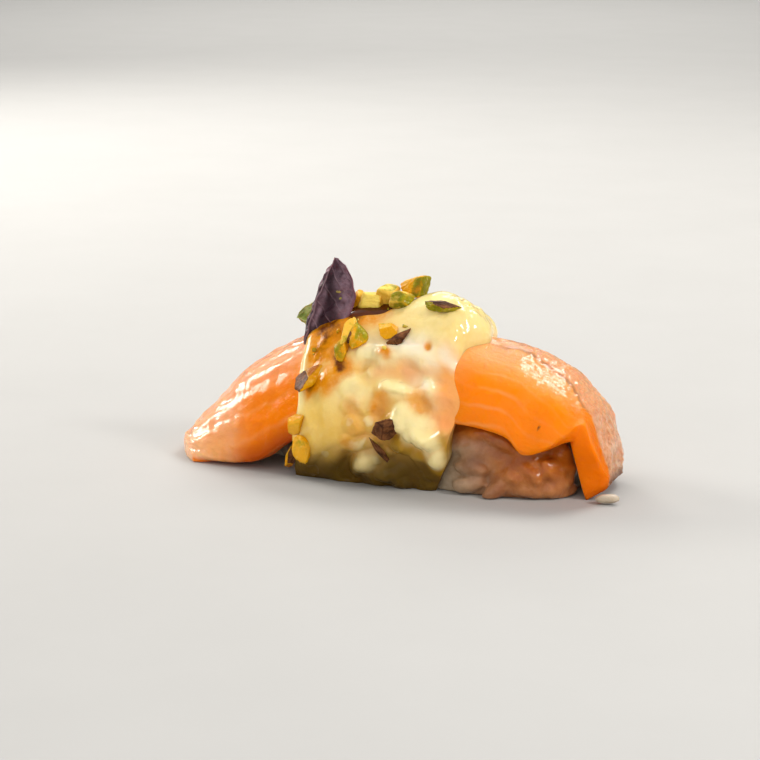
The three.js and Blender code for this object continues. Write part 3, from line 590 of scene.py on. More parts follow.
# Painted shade under the drip's lobes.
under = patches("under the lobes", 6) * (1 - pale) * soft_step(-0.92, -1.04, drop) * (1 - thinned)
curdy = soft_step(0.345, 0.375, u) * soft_step(-0.44, -0.54, drop) * soft_step(-1.75, -1.35, drop)
curdy = np.maximum(curdy, 0.5 * soft_step(-1.1, -1.35, drop))
curdy *= (1 - 0.6 * pale) * (1 - 0.5 * np.minimum(pink, 1))
sauce_fields = {
    "amber": amber,
    "pink": np.maximum(pink, 0.85 * thinned),
    "pale": pale,
    "milk_and_sheen": milk_and_sheen,
    "mustard": mustard * (1 - pale),
    "foot_shade": foot_shade,
    "film": thinned * soft_step(0.80, 0.95, s),
    "crease": crease * (1 - 0.5 * pale),
    "curdy": curdy,
    "under": under,
}
flow = np.stack([u * SLICE_RUN, run_down(drop)], -1) * 0.1
sauce = make_piece("cream_sauce_run", points, quads, uv=flow, fields=sauce_fields)
print("mean of each field:", {key: round(float(values.mean()), 3) for key, values in sauce_fields.items()})

# %% [markdown]
# ## Chopped pistachio
#
# A chopped pistachio breaks along flat faces and keeps its papery brown skin on one side. Each piece is
# a ball of rays, each cut short by the nearest of a few random planes. A soft minimum of the planes
# rounds the arrises a little, as the broken edges of a nut are never knife sharp.

# %% The pieces of nut
# place on the sauce (u, drop), size along, across and through, turn, lift, green share,
# where the brown skin faces and how far round it reaches, sharpness of the arrises, paleness of the flesh
PISTACHIO = [
    ([0.294, -0.92], [4.0, 3.4, 2.6], 10, 0.0, 0.1, [0.0, -0.5, -1.0], 2.0, 12, 0.42),
    ([0.304, -1.19], [5.0, 3.2, 2.6], 80, 0.0, 0.0, [0.0, -1.0, -1.0], 2.0, 4, 0.46),
    ([0.279, -1.42], [4.4, 1.9, 1.8], 50, 0.0, 0.0, [0.6, -0.3, 0.4], 0.5, 20, 0.25),
    ([0.306, -0.645], [5.8, 4.0, 2.4], 22, 0.0, 0.0, [-1.0, -0.4, 0.3], 0.15, 22, 0.24),
    ([0.3445, -0.345], [6.6, 2.4, 2.6], 78, 0.1, 0.3, [-0.2, -1.0, 0.3], 2.0, 7, 0.55),
    ([0.3430, -0.475], [5.4, 2.6, 2.6], 86, 0.0, 0.5, [0.3, -1.0, 0.3], 2.0, 6, 0.35),
    ([0.3560, -0.400], [5.2, 3.2, 2.8], 102, 0.0, 0.42, [-0.9, -1.0, 0.2], 2.0, 7, 0.38),
    ([0.3515, -0.440], [2.4, 0.9, 1.0], 92, 1.25, 0.0, [0.0, 0.0, 1.0], -2.0, 6, 0.0),
    ([0.389, -0.35], [4.4, 3.2, 2.0], 125, 0.0, 0.0, [0.5, -1.0, -0.6], 0.8, 34, 0.36),
    ([0.401, -0.42], [4.9, 2.0, 1.8], 47, 0.0, 0.1, [0.0, 0.2, 1.0], -2.0, 20, 0.5),
    ([0.440, -0.19], [6.8, 3.4, 2.2], 0, 0.0, 0.9, [0.0, -0.1, 1.0], 0.45, 24, 0.5),
    ([0.396, 0.02], [5.2, 4.2, 3.8], 30, 0.7, 0.42, [-0.5, 0.9, -0.4], 0.8, 7, 0.42),
    ([0.354, -0.06], [5.4, 3.8, 3.0], 15, 0.1, 0.05, [-0.5, 0.9, -0.6], 0.8, 12, 0.85),
    ([0.370, -0.03], [4.8, 3.8, 4.0], 50, 0.3, 0.12, [-0.5, 0.9, -0.6], 0.8, 12, 0.75),
    ([0.386, -0.09], [4.4, 3.2, 2.8], 20, 0.2, 0.75, [0.4, 0.9, 0.1], 0.9, 10, 0.6),
    ([0.334, -0.03], [3.8, 3.2, 3.4], 100, 0.2, 0.0, [0.6, -0.2, 0.5], 0.9, 30, 0.5),
    ([0.410, -1.02], [4.5, 3.8, 2.4], 50, 0.0, 0.0, [0.2, 0.1, 1.0], -0.3, 24, 0.3),
    ([0.399, -1.36], [5.2, 1.3, 1.4], 118, 0.0, 0.6, [0.0, 0.6, 1.0], -0.1, 18, 0.2),
    ([0.366, 0.26], [4.6, 3.4, 2.6], 60, 0.0, 0.3, [0.5, 0.5, 0.5], 0.6, 24, 0.6),
    ([0.410, 0.30], [4.0, 3.0, 2.4], 130, 0.0, 0.1, [-0.3, 1.0, 0.0], 0.6, 24, 0.6),
]
NUT_PROUD = 0.22
NUT_PLANES = 11
NUT_REACH = (0.38, 0.62)  # how far out the planes lie
FLOOR_GAP = 0.02  # millimetres between a nut and the floor


def ball_rays(fineness):
    """Directions and quads of a ball, from a cube whose faces are cut into grids."""
    share, quads = block_lattice((fineness,) * 3)
    return unit(np.tan((2 * share - 1) * np.pi / 4)), quads


def lump(rays, random, planes, least, most, sharpness):
    """A broken lump: along each ray the distance to plane k is d_k / (ray . n_k), and the lump's radius is
    a soft minimum of them, (sum of (ray . n_k / d_k)^p)^(-1/p), so a larger p gives sharper arrises. The
    planes face evenly spread directions, each one knocked a little by the random draw. Returns the points,
    the number of the plane that each lies on, how near it is to an arris (1 on it, where the two nearest
    planes are equally far) and all the planes' directions."""
    golden = np.pi * (3 - 5**0.5) * np.arange(planes)
    rise = 1 - (2 * np.arange(planes) + 1) / planes
    level = np.sqrt(1 - rise**2)
    evenly = np.stack([np.cos(golden) * level, np.sin(golden) * level, rise], -1)
    normals = unit(evenly + random.normal(0, 0.28, (planes, 3)))
    reach = random.uniform(least, most, planes)
    inverse = np.maximum(rays @ normals.T / reach, 0.02)
    radius = np.sum(inverse**sharpness, -1) ** (-1 / sharpness)
    ranked = np.sort(inverse, -1)
    return rays * radius[:, None], np.argmax(inverse, -1), ranked[:, -2] / ranked[:, -1], normals


rays, ray_quads = ball_rays(18)
random = np.random.default_rng(SEED)
nut_points, nut_fields = [], {"skin": [], "green": [], "tone": [], "arris": []}
for k, nut in enumerate(PISTACHIO):
    place, nut_size, turn, nut_lift, green, skin_way, skin_from, sharp, flesh_pale = nut
    body, plane, arris, normals = lump(rays, random, NUT_PLANES, *NUT_REACH, sharp)
    body = body / np.ptp(body, axis=0)
    chips = ripple(rays[:, 0] * 4 + k, rays[:, 1] * 4 + rays[:, 2] * 3, 1.5, SEED + k)
    pits = np.abs(ripple(rays[:, 2] * 5, rays[:, 0] * 5 - k, 0.8, k))
    body += rays * (0.014 * chips + 0.010 * pits)[:, None]
    body = body * nut_size
    sine, cosine = math.sin(math.radians(turn)), math.cos(math.radians(turn))
    spin = np.array([[cosine, sine, 0], [-sine, cosine, 0], [0, 0, 1]])
    at_u, at_drop = (np.array([value]) for value in place)
    out = facing(mound_point, at_u, at_drop)[0]
    along = unit(mound_point(at_u + 0.005, at_drop) - mound_point(at_u - 0.005, at_drop))[0]
    height = sauce_level(at_u, at_drop) + nut_size[2] * NUT_PROUD + nut_lift
    centre = over_mound(at_u, at_drop, height)[0]
    nut_points.append(centre + body @ spin @ np.stack([along, unit(np.cross(out, along)), out]))
    nut_fields["skin"].append((normals @ unit(np.array(skin_way)) - skin_from)[plane])
    nut_fields["green"].append(green + 0.35 * random.uniform(-1, 1, NUT_PLANES)[plane] + 0.15 * rays[:, 0])
    nut_fields["tone"].append(np.clip(flesh_pale + 0.2 * random.uniform(-1, 1, NUT_PLANES)[plane], 0, 1))
    nut_fields["arris"].append(arris)
nut_points = np.concatenate(nut_points)
nut_points[:, 2] = np.maximum(nut_points[:, 2], FLOOR_GAP)
nuts = make_piece(
    "chopped_pistachio", nut_points, repeated(ray_quads, len(rays), len(PISTACHIO)),
    fields={key: np.concatenate(values) for key, values in nut_fields.items()},
)

# %% [markdown]
# ## The rice
#
# Cooked short-grain rice is plump, glossy and a little bent, and it clings in a heap whose surface is all
# rounded ends. The heap's core is a rounded loaf, a little smaller than the ball. Real grains lie over it
# in two layers, each one bent and sized by its own random draw, and none runs into the slice or the sauce.

# %% The core of the ball
RICE_ROWS = [
    # x, reach to the front, reach to the back, height
    [-28.6, 1.0, 3.0, 2.4],
    [-27.4, 1.4, 6.0, 5.6],
    [-24.0, 2.2, 8.6, 11.2],
    [-18.0, 4.6, 10.2, 15.4],
    [-10.0, 8.8, 10.9, 17.9],
    [0.0, 10.6, 11.4, 18.7],
    [10.0, 11.8, 12.2, 18.1],
    [16.0, 12.4, 12.5, 17.2],
    [21.5, 11.7, 12.0, 15.7],
    [25.5, 10.8, 11.2, 13.4],
    [28.5, 9.2, 9.8, 10.6],
    [30.4, 6.4, 7.0, 7.0],
    [31.0, 4.0, 4.0, 4.0],
]
RICE_SQUARENESS = 2.4
CORE_SHRINK = 1.3
CORE_STEPS = (60, 60, 2)


def rice_point(t, turn, grow=0.0):
    """The ball's surface: t along it, turn 0 at the back floor .. 1 at the front floor. Each section is a
    superellipse, whose reach and height are the cosine and sine to the power 2 / squareness."""
    x, front, back, height = np.moveaxis(rail(RICE_ROWS, t), -1, 0)
    across, up = np.cos(turn * np.pi), np.sin(turn * np.pi)
    width = np.where(across < 0, front, back) + grow
    power = 2 / RICE_SQUARENESS
    y = width * np.sign(across) * np.abs(across) ** power
    z = (height + grow) * np.sign(up) * np.abs(up) ** power
    return np.stack([x, y, z], -1)


share, quads = block_lattice(CORE_STEPS)
points = rice_point(share[:, 0], 1 - share[:, 1], -CORE_SHRINK)
points[:, 0] -= np.sign(share[:, 0] - 0.5) * CORE_SHRINK * np.abs(2 * share[:, 0] - 1) ** 6
points[:, 2] = np.maximum(points[:, 2], 0) * share[:, 2]
rice_core = make_piece("rice_core", points, quads, weld=True)

# %% [markdown]
# A grain is a body of revolution that is bent a little, blunt at one end and slightly pinched at the other.
# All grains share one small mesh of rings, and every grain's bend, size and place is one row of an array.

# %% The grains
GRAIN_LENGTH = 6.6
GRAIN_WIDTH = 2.9
GRAIN_RINGS = 7
GRAIN_SIDES = 8


def grain_template():
    """Rings along -1..1 whose radius is (1 - |x|^2.7)^0.5, with a point at each end. Returns the points,
    the quads between the rings and the triangles at the ends."""
    x = np.sin(np.linspace(-1, 1, GRAIN_RINGS + 2)[1:-1] * np.pi / 2)
    angle = np.arange(GRAIN_SIDES) * 2 * np.pi / GRAIN_SIDES
    x, angle = np.meshgrid(x, angle, indexing="ij")
    radius = np.sqrt(1 - np.abs(x) ** 2.7)
    rings = np.stack([x, radius * np.cos(angle), radius * np.sin(angle)], -1).reshape(-1, 3)
    side = np.arange(GRAIN_SIDES)
    following = (side + 1) % GRAIN_SIDES
    ring = np.arange(GRAIN_RINGS - 1)[:, None] * GRAIN_SIDES
    quads = [ring + following, ring + GRAIN_SIDES + following, ring + GRAIN_SIDES + side, ring + side]
    last = (GRAIN_RINGS - 1) * GRAIN_SIDES
    first_fan = np.stack([following, side, np.full(GRAIN_SIDES, len(rings))], -1)
    last_fan = np.stack([last + side, last + following, np.full(GRAIN_SIDES, len(rings) + 1)], -1)
    points = np.concatenate([rings, [[-1, 0, 0], [1, 0, 0]]])
    return points, np.stack(quads, -1).reshape(-1, 4), np.concatenate([first_fan, last_fan])


def grain_row(turn, start, end, count, sunk):
    """Places along one row of the ball: x, turn and how deep the grains are sunk, in widths."""
    x = start + (end - start) * (np.arange(count) + random.uniform(0.2, 0.8, count)) / count
    return np.stack([x, turn + random.uniform(-0.012, 0.012, count), np.full(count, sunk)], -1)


GRAIN_LAYERS = {
    # turn from, to, rows | a row's x from, more with turn past 0.1 | to, less past 0.12 | grains, sunk
    "back, outer": (0.025, 0.30, 7, -27.0, 40, 30.6, 20, 12, 0.10),
    "back, inner": (0.05, 0.29, 7, -26.0, 40, 30.2, 0, 13, 0.55),
    "right front, outer": (0.98, 0.70, 8, 5.0, 0, 31.0, 0, 6, 0.18),
    "right front, inner": (0.965, 0.68, 8, 2.0, 0, 30.6, 0, 7, 0.55),
    "left front": (0.97, 0.80, 4, -24.0, 0, 2.0, 0, 8, 0.35),
}
rows = []
for low, high, number, start, more, end, less, each, sunk in GRAIN_LAYERS.values():
    for turn in np.linspace(low, high, number):
        row_start = start + more * max(turn - 0.1, 0)
        rows.append(grain_row(turn, row_start, end - less * max(turn - 0.12, 0), each, sunk))
places = np.concatenate(rows)
count = len(places)
print(f"{count} grains in {len(rows)} rows")

# %% How every grain lies, and its size and bend
t = np.interp(places[:, 0], [row[0] for row in RICE_ROWS], np.linspace(0, 1, len(RICE_ROWS)))
spot = rice_point(t, places[:, 1])
along = unit(rice_point(t + 0.01, places[:, 1]) - rice_point(t - 0.01, places[:, 1]))
over = unit(rice_point(t, places[:, 1] + 0.01) - rice_point(t, places[:, 1] - 0.01))
out = unit(np.cross(over, along))
out = np.where((np.sum(out * (spot - [0, 0, 8]), -1) < 0)[:, None], -out, out)
side = np.cross(out, along)
yaw = random.normal(0, 0.5, count)[:, None]
tilt = random.normal(0, 0.16, count)[:, None]
axis = unit((along * np.cos(yaw) + side * np.sin(yaw)) * np.cos(tilt) + out * np.sin(tilt))
side = unit(np.cross(out, axis))
axes = np.stack([axis, side, np.cross(axis, side)], 1)
lengths = GRAIN_LENGTH * random.uniform(0.82, 1.06, count)
widths = GRAIN_WIDTH * random.uniform(0.88, 1.06, count)
heights = GRAIN_WIDTH * random.uniform(0.82, 0.98, count)
bend = random.uniform(-0.5, 0.5, count)[:, None]
taper = random.uniform(-0.16, 0.16, count)[:, None]
grain, grain_quads, grain_ends = grain_template()
local = grain[None] * (np.stack([lengths, widths, heights], -1) / 2)[:, None]
local[..., 1:] *= (1 + taper * grain[None, :, 0])[..., None]
local[..., 1] += bend * grain[None, :, 0] ** 2
unevenness = random.uniform(-0.06, 0.16, count)


def grains_at(sunk):
    """Every grain's points with its centre sunk by that share of its width."""
    centre = spot - out * (GRAIN_WIDTH * (sunk + unevenness))[:, None]
    return centre[:, None] + np.einsum("gkc,gcx->gkx", local, axes)


# %% Grains that would run into the slice or the sauce are sunk, or left out
MOST_OVERLAP = 0.15  # millimetres that a grain may reach into them
RICE_GAP = 0.01  # millimetres between the rice and the floor


def depth_inside(tree, point):
    """Millimetres that a point lies inside a closed piece, below zero outside it."""
    near, normal, _, distance = tree.find_nearest(Vector(point * MM))
    return distance / MM * (1 if (Vector(point * MM) - near).dot(normal) < 0 else -1)


depsgraph = bpy.context.evaluated_depsgraph_get()
trees = [BVHTree.FromObject(piece, depsgraph) for piece in (salmon, sauce)]
probes = [*np.linspace(0, len(grain) - 3, 12).astype(int), len(grain) - 2, len(grain) - 1]
fitting = {}
for deeper in (0.0, 0.25, 0.5):
    everywhere = grains_at(places[:, 2] + deeper)
    for g in range(count):
        if g not in fitting:
            reach = max(depth_inside(tree, point) for tree in trees for point in everywhere[g][probes])
            if reach < MOST_OVERLAP:
                fitting[g] = everywhere[g]
print(f"rice: {len(fitting)} of {count} grains fit")
points = np.concatenate(list(fitting.values()))
points[:, 2] = np.maximum(points[:, 2], RICE_GAP)
faces = [repeated(kind, len(grain), len(fitting)) for kind in (grain_quads, grain_ends)]
rice = make_piece("pressed_rice", points, faces)

# %% [markdown]
# Cooked grains stick: where two touch, a soft neck of starch joins them. The core and the grains are
# therefore joined, remeshed as one skin with small voxels, and smoothed a little, which fills the sharp
# gaps just as the starch does. At the front the juice of the slice has swelled the grains until they run
# into each other, so the skin is smoothed much more there.

# %% Core and grains become one skin
VOXEL = 0.30  # millimetres
STARCH_SMOOTHING = 1
SOAKED_SMOOTHING = 14


def apply_modifiers(piece):
    """Puts the result of a piece's modifiers into its mesh."""
    depsgraph = bpy.context.evaluated_depsgraph_get()
    finished = bpy.data.meshes.new_from_object(piece.evaluated_get(depsgraph))
    piece.modifiers.clear()
    piece.data = finished


work = bmesh.new()
work.from_mesh(rice.data)
work.from_mesh(rice_core.data)
work.to_mesh(rice.data)
work.free()
bpy.data.objects.remove(rice_core)
remesh = rice.modifiers.new("one skin", "REMESH")
remesh.mode = "VOXEL"
remesh.voxel_size = VOXEL * MM
remesh.use_smooth_shade = True


def smoothed_corners(times):
    """Applies the rice's modifiers and a smoothing, and returns its corners in millimetres."""
    smooth = rice.modifiers.new("starch", "SMOOTH")
    smooth.factor = 0.5
    smooth.iterations = times
    apply_modifiers(rice)
    corners = np.empty(len(rice.data.vertices) * 3, np.float32)
    rice.data.vertices.foreach_get("co", corners)
    return corners.reshape(-1, 3) / MM


points = smoothed_corners(STARCH_SMOOTHING)
# The front part is smoothed much more, and the rice's colour takes a painted shade there.
front_part = soft_step(3.0, -5.0, points[:, 1])
points += (smoothed_corners(SOAKED_SMOOTHING) - points) * front_part[:, None]
points[:, 2] = np.maximum(points[:, 2], RICE_GAP)
rice.data.vertices.foreach_set("co", (points * MM).ravel())


def rice_warm_shade(points):
    """Painted warm shade on the rice, as if lit through the salmon: more to the right, and close under the
    slice.
    """
    warm_shade = soft_step(8, 24, points[:, 0]) * (0.75 + 0.25 * soft_step(1, 6, points[:, 2]))
    return np.maximum(warm_shade, soft_step(6, 11, points[:, 2])) * soft_step(2, -6, points[:, 1])


give_fields(rice.data, {"warm_shade": rice_warm_shade(points), "front_part": front_part})
print(f"rice skin: {len(rice.data.polygons)} faces")

# %% One loose grain beside the flap's foot
LOOSE_HALF = [2.0, 0.9, 0.8]
LOOSE_TURN = np.array([[0.93, 0.36, 0.03], [-0.36, 0.93, 0], [-0.03, 0, 1]])
LOOSE_PLACE = [37.4, -7.9, 0.95]
# The loose grain's share of the painted front shade.
LOOSE_SHADE = 0.7
none = np.zeros(len(grain))
loose_grain = make_piece(
    "loose_grain", grain * LOOSE_HALF @ LOOSE_TURN + LOOSE_PLACE, [grain_quads, grain_ends],
    fields={"warm_shade": none, "front_part": none + LOOSE_SHADE},
)

# %% [markdown]
# ## The basil leaves
#
# A young basil leaf folds along its midrib into two facing halves, and its surface swells between the
# side veins. Each half is a sheet that runs from the midrib to the rim, with the veins as narrow grooves
# that leave the midrib at a slant.

# %% The leaf's shape
PURPLE_LEAF = {
    "base": [-17.3, -5.5, 21.4], "tip": [-12.6, -2.7, 36.2],
    "right": [0.96, 0.04, -0.12], "left": [-0.45, 0.80, 0.10],
    "half": [4.4, 6.2], "thick": 0.5,
}
GREEN_LEAF = {
    "base": [-14.2, 1.6, 23.9], "tip": [-21.5, 0.5, 24.9],
    "right": [0.15, -0.25, 0.95], "left": [0.05, 0.60, -0.75],
    "half": [3.7, 3.7], "thick": 0.45,
}
VEIN_COUNT = 5
BLADE_LONG = 14  # about the length of a blade in mm, for its relief and its dust
RELIEF_WIDE = 5
DUST_WIDE = 6
DUST_SPOTS = [([9.0, 2.9], [9.1, 3.7], 0.30), ([8.0, 3.4], [8.1, 3.7], 0.24)]  # from, to, radius in mm
LEAF_STEPS = (120, 64, 2)


def leaf_piece(name, leaf):
    """A leaf from base to tip. The half width is 0.18 plus 0.82 times a sine to the power 0.8 of the share
    along it, which is bent to the power 0.85 on the right and 0.68 on the left, and it runs to a point in
    the last 6%. Each half runs out from the midrib in its own direction. The side veins are shallow
    grooves, the midrib a deeper one, and the blade swells between them."""
    share, quads = block_lattice(LEAF_STEPS)
    a, side, level = share[:, 0], 2 * share[:, 1] - 1, share[:, 2] - 0.5
    base, axis = np.array(leaf["base"]), np.subtract(leaf["tip"], leaf["base"])
    right, left = unit(np.array(leaf["right"])), unit(np.array(leaf["left"]))
    face = unit(np.cross(axis, right - left))
    belly = np.sin(np.pi * a ** np.where(side > 0, 0.85, 0.68)) ** 0.8
    half = np.where(side > 0, leaf["half"][1], leaf["half"][0])
    half = half * (0.18 + 0.82 * belly) * np.clip((1 - a) / 0.06, 0.02, 1) ** 0.7
    out = np.abs(side)
    vein = (a + 0.36 * out**0.9 + 0.08 * (side > 0)) * VEIN_COUNT
    vein_near = np.abs(vein - np.rint(vein)) / VEIN_COUNT * np.linalg.norm(axis)
    relief = -0.10 * np.exp(-((vein_near / 0.25) ** 2)) * np.clip(out * 6, 0, 1) * (1 - out**2)
    relief += 0.22 * np.sin(np.pi * np.abs(vein - np.rint(vein))) * (1 - out**3) * np.clip(out * 4, 0, 1)
    relief += 0.24 * ripple(a * BLADE_LONG, side * RELIEF_WIDE, 3.4, SEED + 12)
    relief += 0.16 * ripple(a * BLADE_LONG, side * RELIEF_WIDE, 1.6, SEED + 14)
    relief -= 0.25 * np.exp(-((out / 0.07) ** 2))
    wave = 0.25 * np.sin(9 * a + 2 * side) * out + 0.12 * np.sin(31 * a + side) * out**3
    bow = 0.6 * np.sin(np.pi * a)
    thin = leaf["thick"] * (1 - 0.55 * out)
    outward_side = np.where((side > 0)[:, None], right, left)
    points = base + axis * a[:, None] + outward_side * (out * half)[:, None]
    points += face * (wave - bow + relief + level * thin)[:, None]
    # Painted sheen, paler towards the tip and rim, and a painted glint along the fold by the midrib.
    painted_sheen = soft_step(0.62, 1.16, 0.75 * out + 0.75 * a)
    fold_glint = np.exp(-(((out - 0.12) / 0.06) ** 2)) * soft_step(0.12, 0.3, a) * soft_step(0.72, 0.6, a)
    dust = sum(
        np.exp(-((capsule(a * BLADE_LONG, out * DUST_WIDE, start, end) / radius) ** 2))
        for start, end, radius in DUST_SPOTS
    )
    fields = {"vein": vein_near, "out": out, "painted_sheen": np.maximum(painted_sheen, 0.75 * fold_glint), "dust": dust}
    return make_piece(name, points, quads, weld=True, fields=fields)


purple_leaf = leaf_piece("purple_basil_leaf", PURPLE_LEAF)
green_leaf = leaf_piece("green_basil_leaf", GREEN_LEAF)

# %% [markdown]
# ## Glaze and crumbs
#
# A little brown glaze has run over the top of the sauce and gathered beside the leaf, and crumbs from the
# chopping board lie about on the sauce. The glaze is a thin lens that follows the sauce's surface, and a
# crumb is a nut lump again, about a tenth of the size.

# %% The pool of glaze: a lens on the sauce
GLAZE_CENTRE = (0.356, -0.10)  # u, drop
GLAZE_HALF = (4.6, 2.4)  # millimetres along and down
GLAZE_HIGH = 0.3
GLAZE_STEPS = (48, 48, 2)
# A square grid becomes a disc by x * (1 - y^2 / 2)^0.5 and the same for y, and the disc an uneven oval. The
# lens is high in the middle and dips into the sauce at its rim.
share, quads = block_lattice(GLAZE_STEPS)
x, y = 2 * share[:, 0] - 1, 2 * share[:, 1] - 1
disc_x, disc_y = x * np.sqrt(1 - y**2 / 2), y * np.sqrt(1 - x**2 / 2)
r, angle = np.hypot(disc_x, disc_y), np.arctan2(disc_y, disc_x)
uneven = 1 + 0.16 * np.sin(3 * angle + 1) + 0.10 * np.sin(5 * angle)
u = GLAZE_CENTRE[0] + disc_x * uneven * GLAZE_HALF[0] / SLICE_RUN
drop = GLAZE_CENTRE[1] + disc_y * uneven * GLAZE_HALF[1] / EDGE_RUN
lens = np.where(share[:, 2] > 0.75, GLAZE_HIGH * (1 - r**4) - 0.10, -0.5)
points = over_mound(u, drop, sauce_level(u, drop) + fine_sauce(u, drop) + lens)
glaze = make_piece("glaze_pool", points, quads, weld=True)

# %% Crumbs of nut on the sauce
CRUMB_COUNT = 14
CRUMB_SIZES = (0.35, 0.95)
CRUMB_PLANES = 9
CRUMB_REACH = (0.35, 0.6)
CRUMB_SHARPNESS = 10
rays, ray_quads = ball_rays(4)
crumb_u = random.uniform(0.295, 0.475, CRUMB_COUNT)
crumb_drop = random.uniform(-0.5, 0.3, CRUMB_COUNT)
crumb_points, crumb_green = [], []
for k in range(CRUMB_COUNT):
    at_u, at_drop = crumb_u[k:k + 1], crumb_drop[k:k + 1]
    crumb_size = random.uniform(*CRUMB_SIZES) * random.uniform(0.6, 1, 3)
    level = sauce_level(at_u, at_drop) + fine_sauce(at_u, at_drop) + 0.1 * crumb_size[2]
    body = lump(rays, random, CRUMB_PLANES, *CRUMB_REACH, CRUMB_SHARPNESS)[0]
    crumb_points.append(over_mound(at_u, at_drop, level) + body * crumb_size)
    crumb_green.append(random.uniform(0, 0.8))
crumb_fields = {
    "skin": random.uniform(-1, -0.3, CRUMB_COUNT),
    "green": np.array(crumb_green),
    "tone": random.uniform(0.3, 1, CRUMB_COUNT),
    "arris": np.zeros(CRUMB_COUNT),
}
crumbs = make_piece(
    "pistachio_crumbs", np.concatenate(crumb_points), repeated(ray_quads, len(rays), CRUMB_COUNT),
    fields={key: values.repeat(len(rays)) for key, values in crumb_fields.items()},
)

# %% [markdown]
# ## Finishes
#
# Everything here is wet food, so two things carry the look: light that goes in and comes out again a
# little further on, and a thin wet film with sharp highlights. The first is the shader's subsurface, and
# the second its coat. Colours change over each surface with named fields of the mesh and with noise.
# A finish is built up as a cook would see it: a ground colour, and layers over it, each with its share.

# %% Small helpers for shader nodes
def fill(node, **inputs):
    """Sets a node's inputs to values, or links them to the outputs of other nodes. A _ stands for a space
    in an input's name, and _0 is the first input."""
    for key, value in inputs.items():
        socket = node.inputs[int(key[1:])] if key[0] == "_" else node.inputs[key.replace("_", " ")]
        if isinstance(value, bpy.types.NodeSocket):
            node.id_data.links.new(value, socket)
        else:
            socket.default_value = value
    return node


def add_node(tree, kind, settings=None, **inputs):
    """A new node with its settings and inputs. tree may also be an output of a node that is in the tree."""
    tree = tree if isinstance(tree, bpy.types.NodeTree) else tree.id_data
    node = tree.nodes.new(kind)
    for key, value in (settings or {}).items():
        setattr(node, key, value)
    return fill(node, **inputs)


def start_material(name, *fields):
    """A new material with a Principled shader and the output only. Gives back the material, the shader,
    the Object coordinates and the named fields of the mesh that it asks for."""
    material = bpy.data.materials.new(name)
    material.use_nodes = True
    tree = material.node_tree
    tree.nodes.clear()
    shader = add_node(tree, "ShaderNodeBsdfPrincipled")
    add_node(tree, "ShaderNodeOutputMaterial", None, Surface=shader.outputs["BSDF"])
    place = add_node(tree, "ShaderNodeTexCoord").outputs["Object"]
    numbers = [
        add_node(tree, "ShaderNodeAttribute", {"attribute_name": key}).outputs["Fac"] for key in fields
    ]
    return material, shader, place, *numbers


def figure(operation):
    """A helper for one kind of sum, which takes values or outputs and gives back the result."""
    def sum_of(one, two=0.0, clamp=False):
        tree = one if isinstance(one, bpy.types.NodeSocket) else two
        settings = {"operation": operation, "use_clamp": clamp}
        return add_node(tree, "ShaderNodeMath", settings, _0=one, _1=two).outputs[0]
    return sum_of


plus, minus, times, larger = figure("ADD"), figure("SUBTRACT"), figure("MULTIPLY"), figure("MAXIMUM")
to_and_fro, without_sign = figure("PINGPONG"), figure("ABSOLUTE")


def span(value, low, high, to_low=0.0, to_high=1.0):
    """A value's place between low and high, smoothed at both ends."""
    settings = {"interpolation_type": "SMOOTHSTEP"}
    return add_node(value, "ShaderNodeMapRange", settings, Value=value, From_Min=low, From_Max=high,
                    To_Min=to_low, To_Max=to_high).outputs["Result"]


def blend(share, one, two):
    """One colour over another by a share."""
    one, two = (value if isinstance(value, bpy.types.NodeSocket) else (*value, 1) for value in (one, two))
    return add_node(share, "ShaderNodeMix", {"data_type": "RGBA"}, Factor=share, _6=one, _7=two).outputs[2]


def layered(colour, *layers):
    """Layers laid over a ground colour one after the other, each given as its share and its colour."""
    for share, layer in layers:
        colour = blend(share, colour, layer)
    return colour


def noise(vector, scale, detail, rough=0.55):
    """Soft noise, 0..1."""
    return add_node(vector, "ShaderNodeTexNoise", None, Vector=vector, Scale=scale, Detail=detail,
                    Roughness=rough).outputs["Fac"]


def stretched(vector, along, across):
    """The uv map scaled, so that noise on it is drawn out one way."""
    scale = (along, across, 1)
    return add_node(vector, "ShaderNodeMapping", None, Vector=vector, Scale=scale).outputs["Vector"]


# %% [markdown]
# Two effects are shared by several foods, so each is a node group. `mottle` is the soft cloudiness of any
# natural surface: it gives a mask. `wet_skin` is the fine unevenness of a moist surface: it gives a height
# for a Bump node and a roughness that is lower where the film is thick.

# %% The shared effects
def start_group(name, inputs, outputs):
    """A shader node group with named number sockets; a vector comes first."""
    group = bpy.data.node_groups.new(name, "ShaderNodeTree")
    group.interface.new_socket("Vector", in_out="INPUT", socket_type="NodeSocketVector")
    for key, value in inputs.items():
        socket = group.interface.new_socket(key, in_out="INPUT", socket_type="NodeSocketFloat")
        socket.default_value = value
    for key in outputs:
        group.interface.new_socket(key, in_out="OUTPUT", socket_type="NodeSocketFloat")
    return group, group.nodes.new("NodeGroupInput").outputs, group.nodes.new("NodeGroupOutput")


mottle_group, given, result = start_group("mottle", {"Scale": 200.0, "Contrast": 1.0}, ["Mask"])
cloud = noise(given["Vector"], given["Scale"], 4.0, 0.6)
fill(result, Mask=plus(times(minus(cloud, 0.5), given["Contrast"]), 0.5, True))

wet_inputs = {"Scale": 800.0, "Dry": 0.4, "Wet": 0.15}
wet_group, given, result = start_group("wet_skin", wet_inputs, ["Height", "Roughness"])
fine = noise(given["Vector"], given["Scale"], 3.0, 0.6)
broad = noise(given["Vector"], times(given["Scale"], 0.23), 2.0, 0.5)
film = times(minus(given["Wet"], given["Dry"]), span(broad, 0.4, 0.62))
fill(result, Height=plus(fine, broad), Roughness=plus(given["Dry"], film))


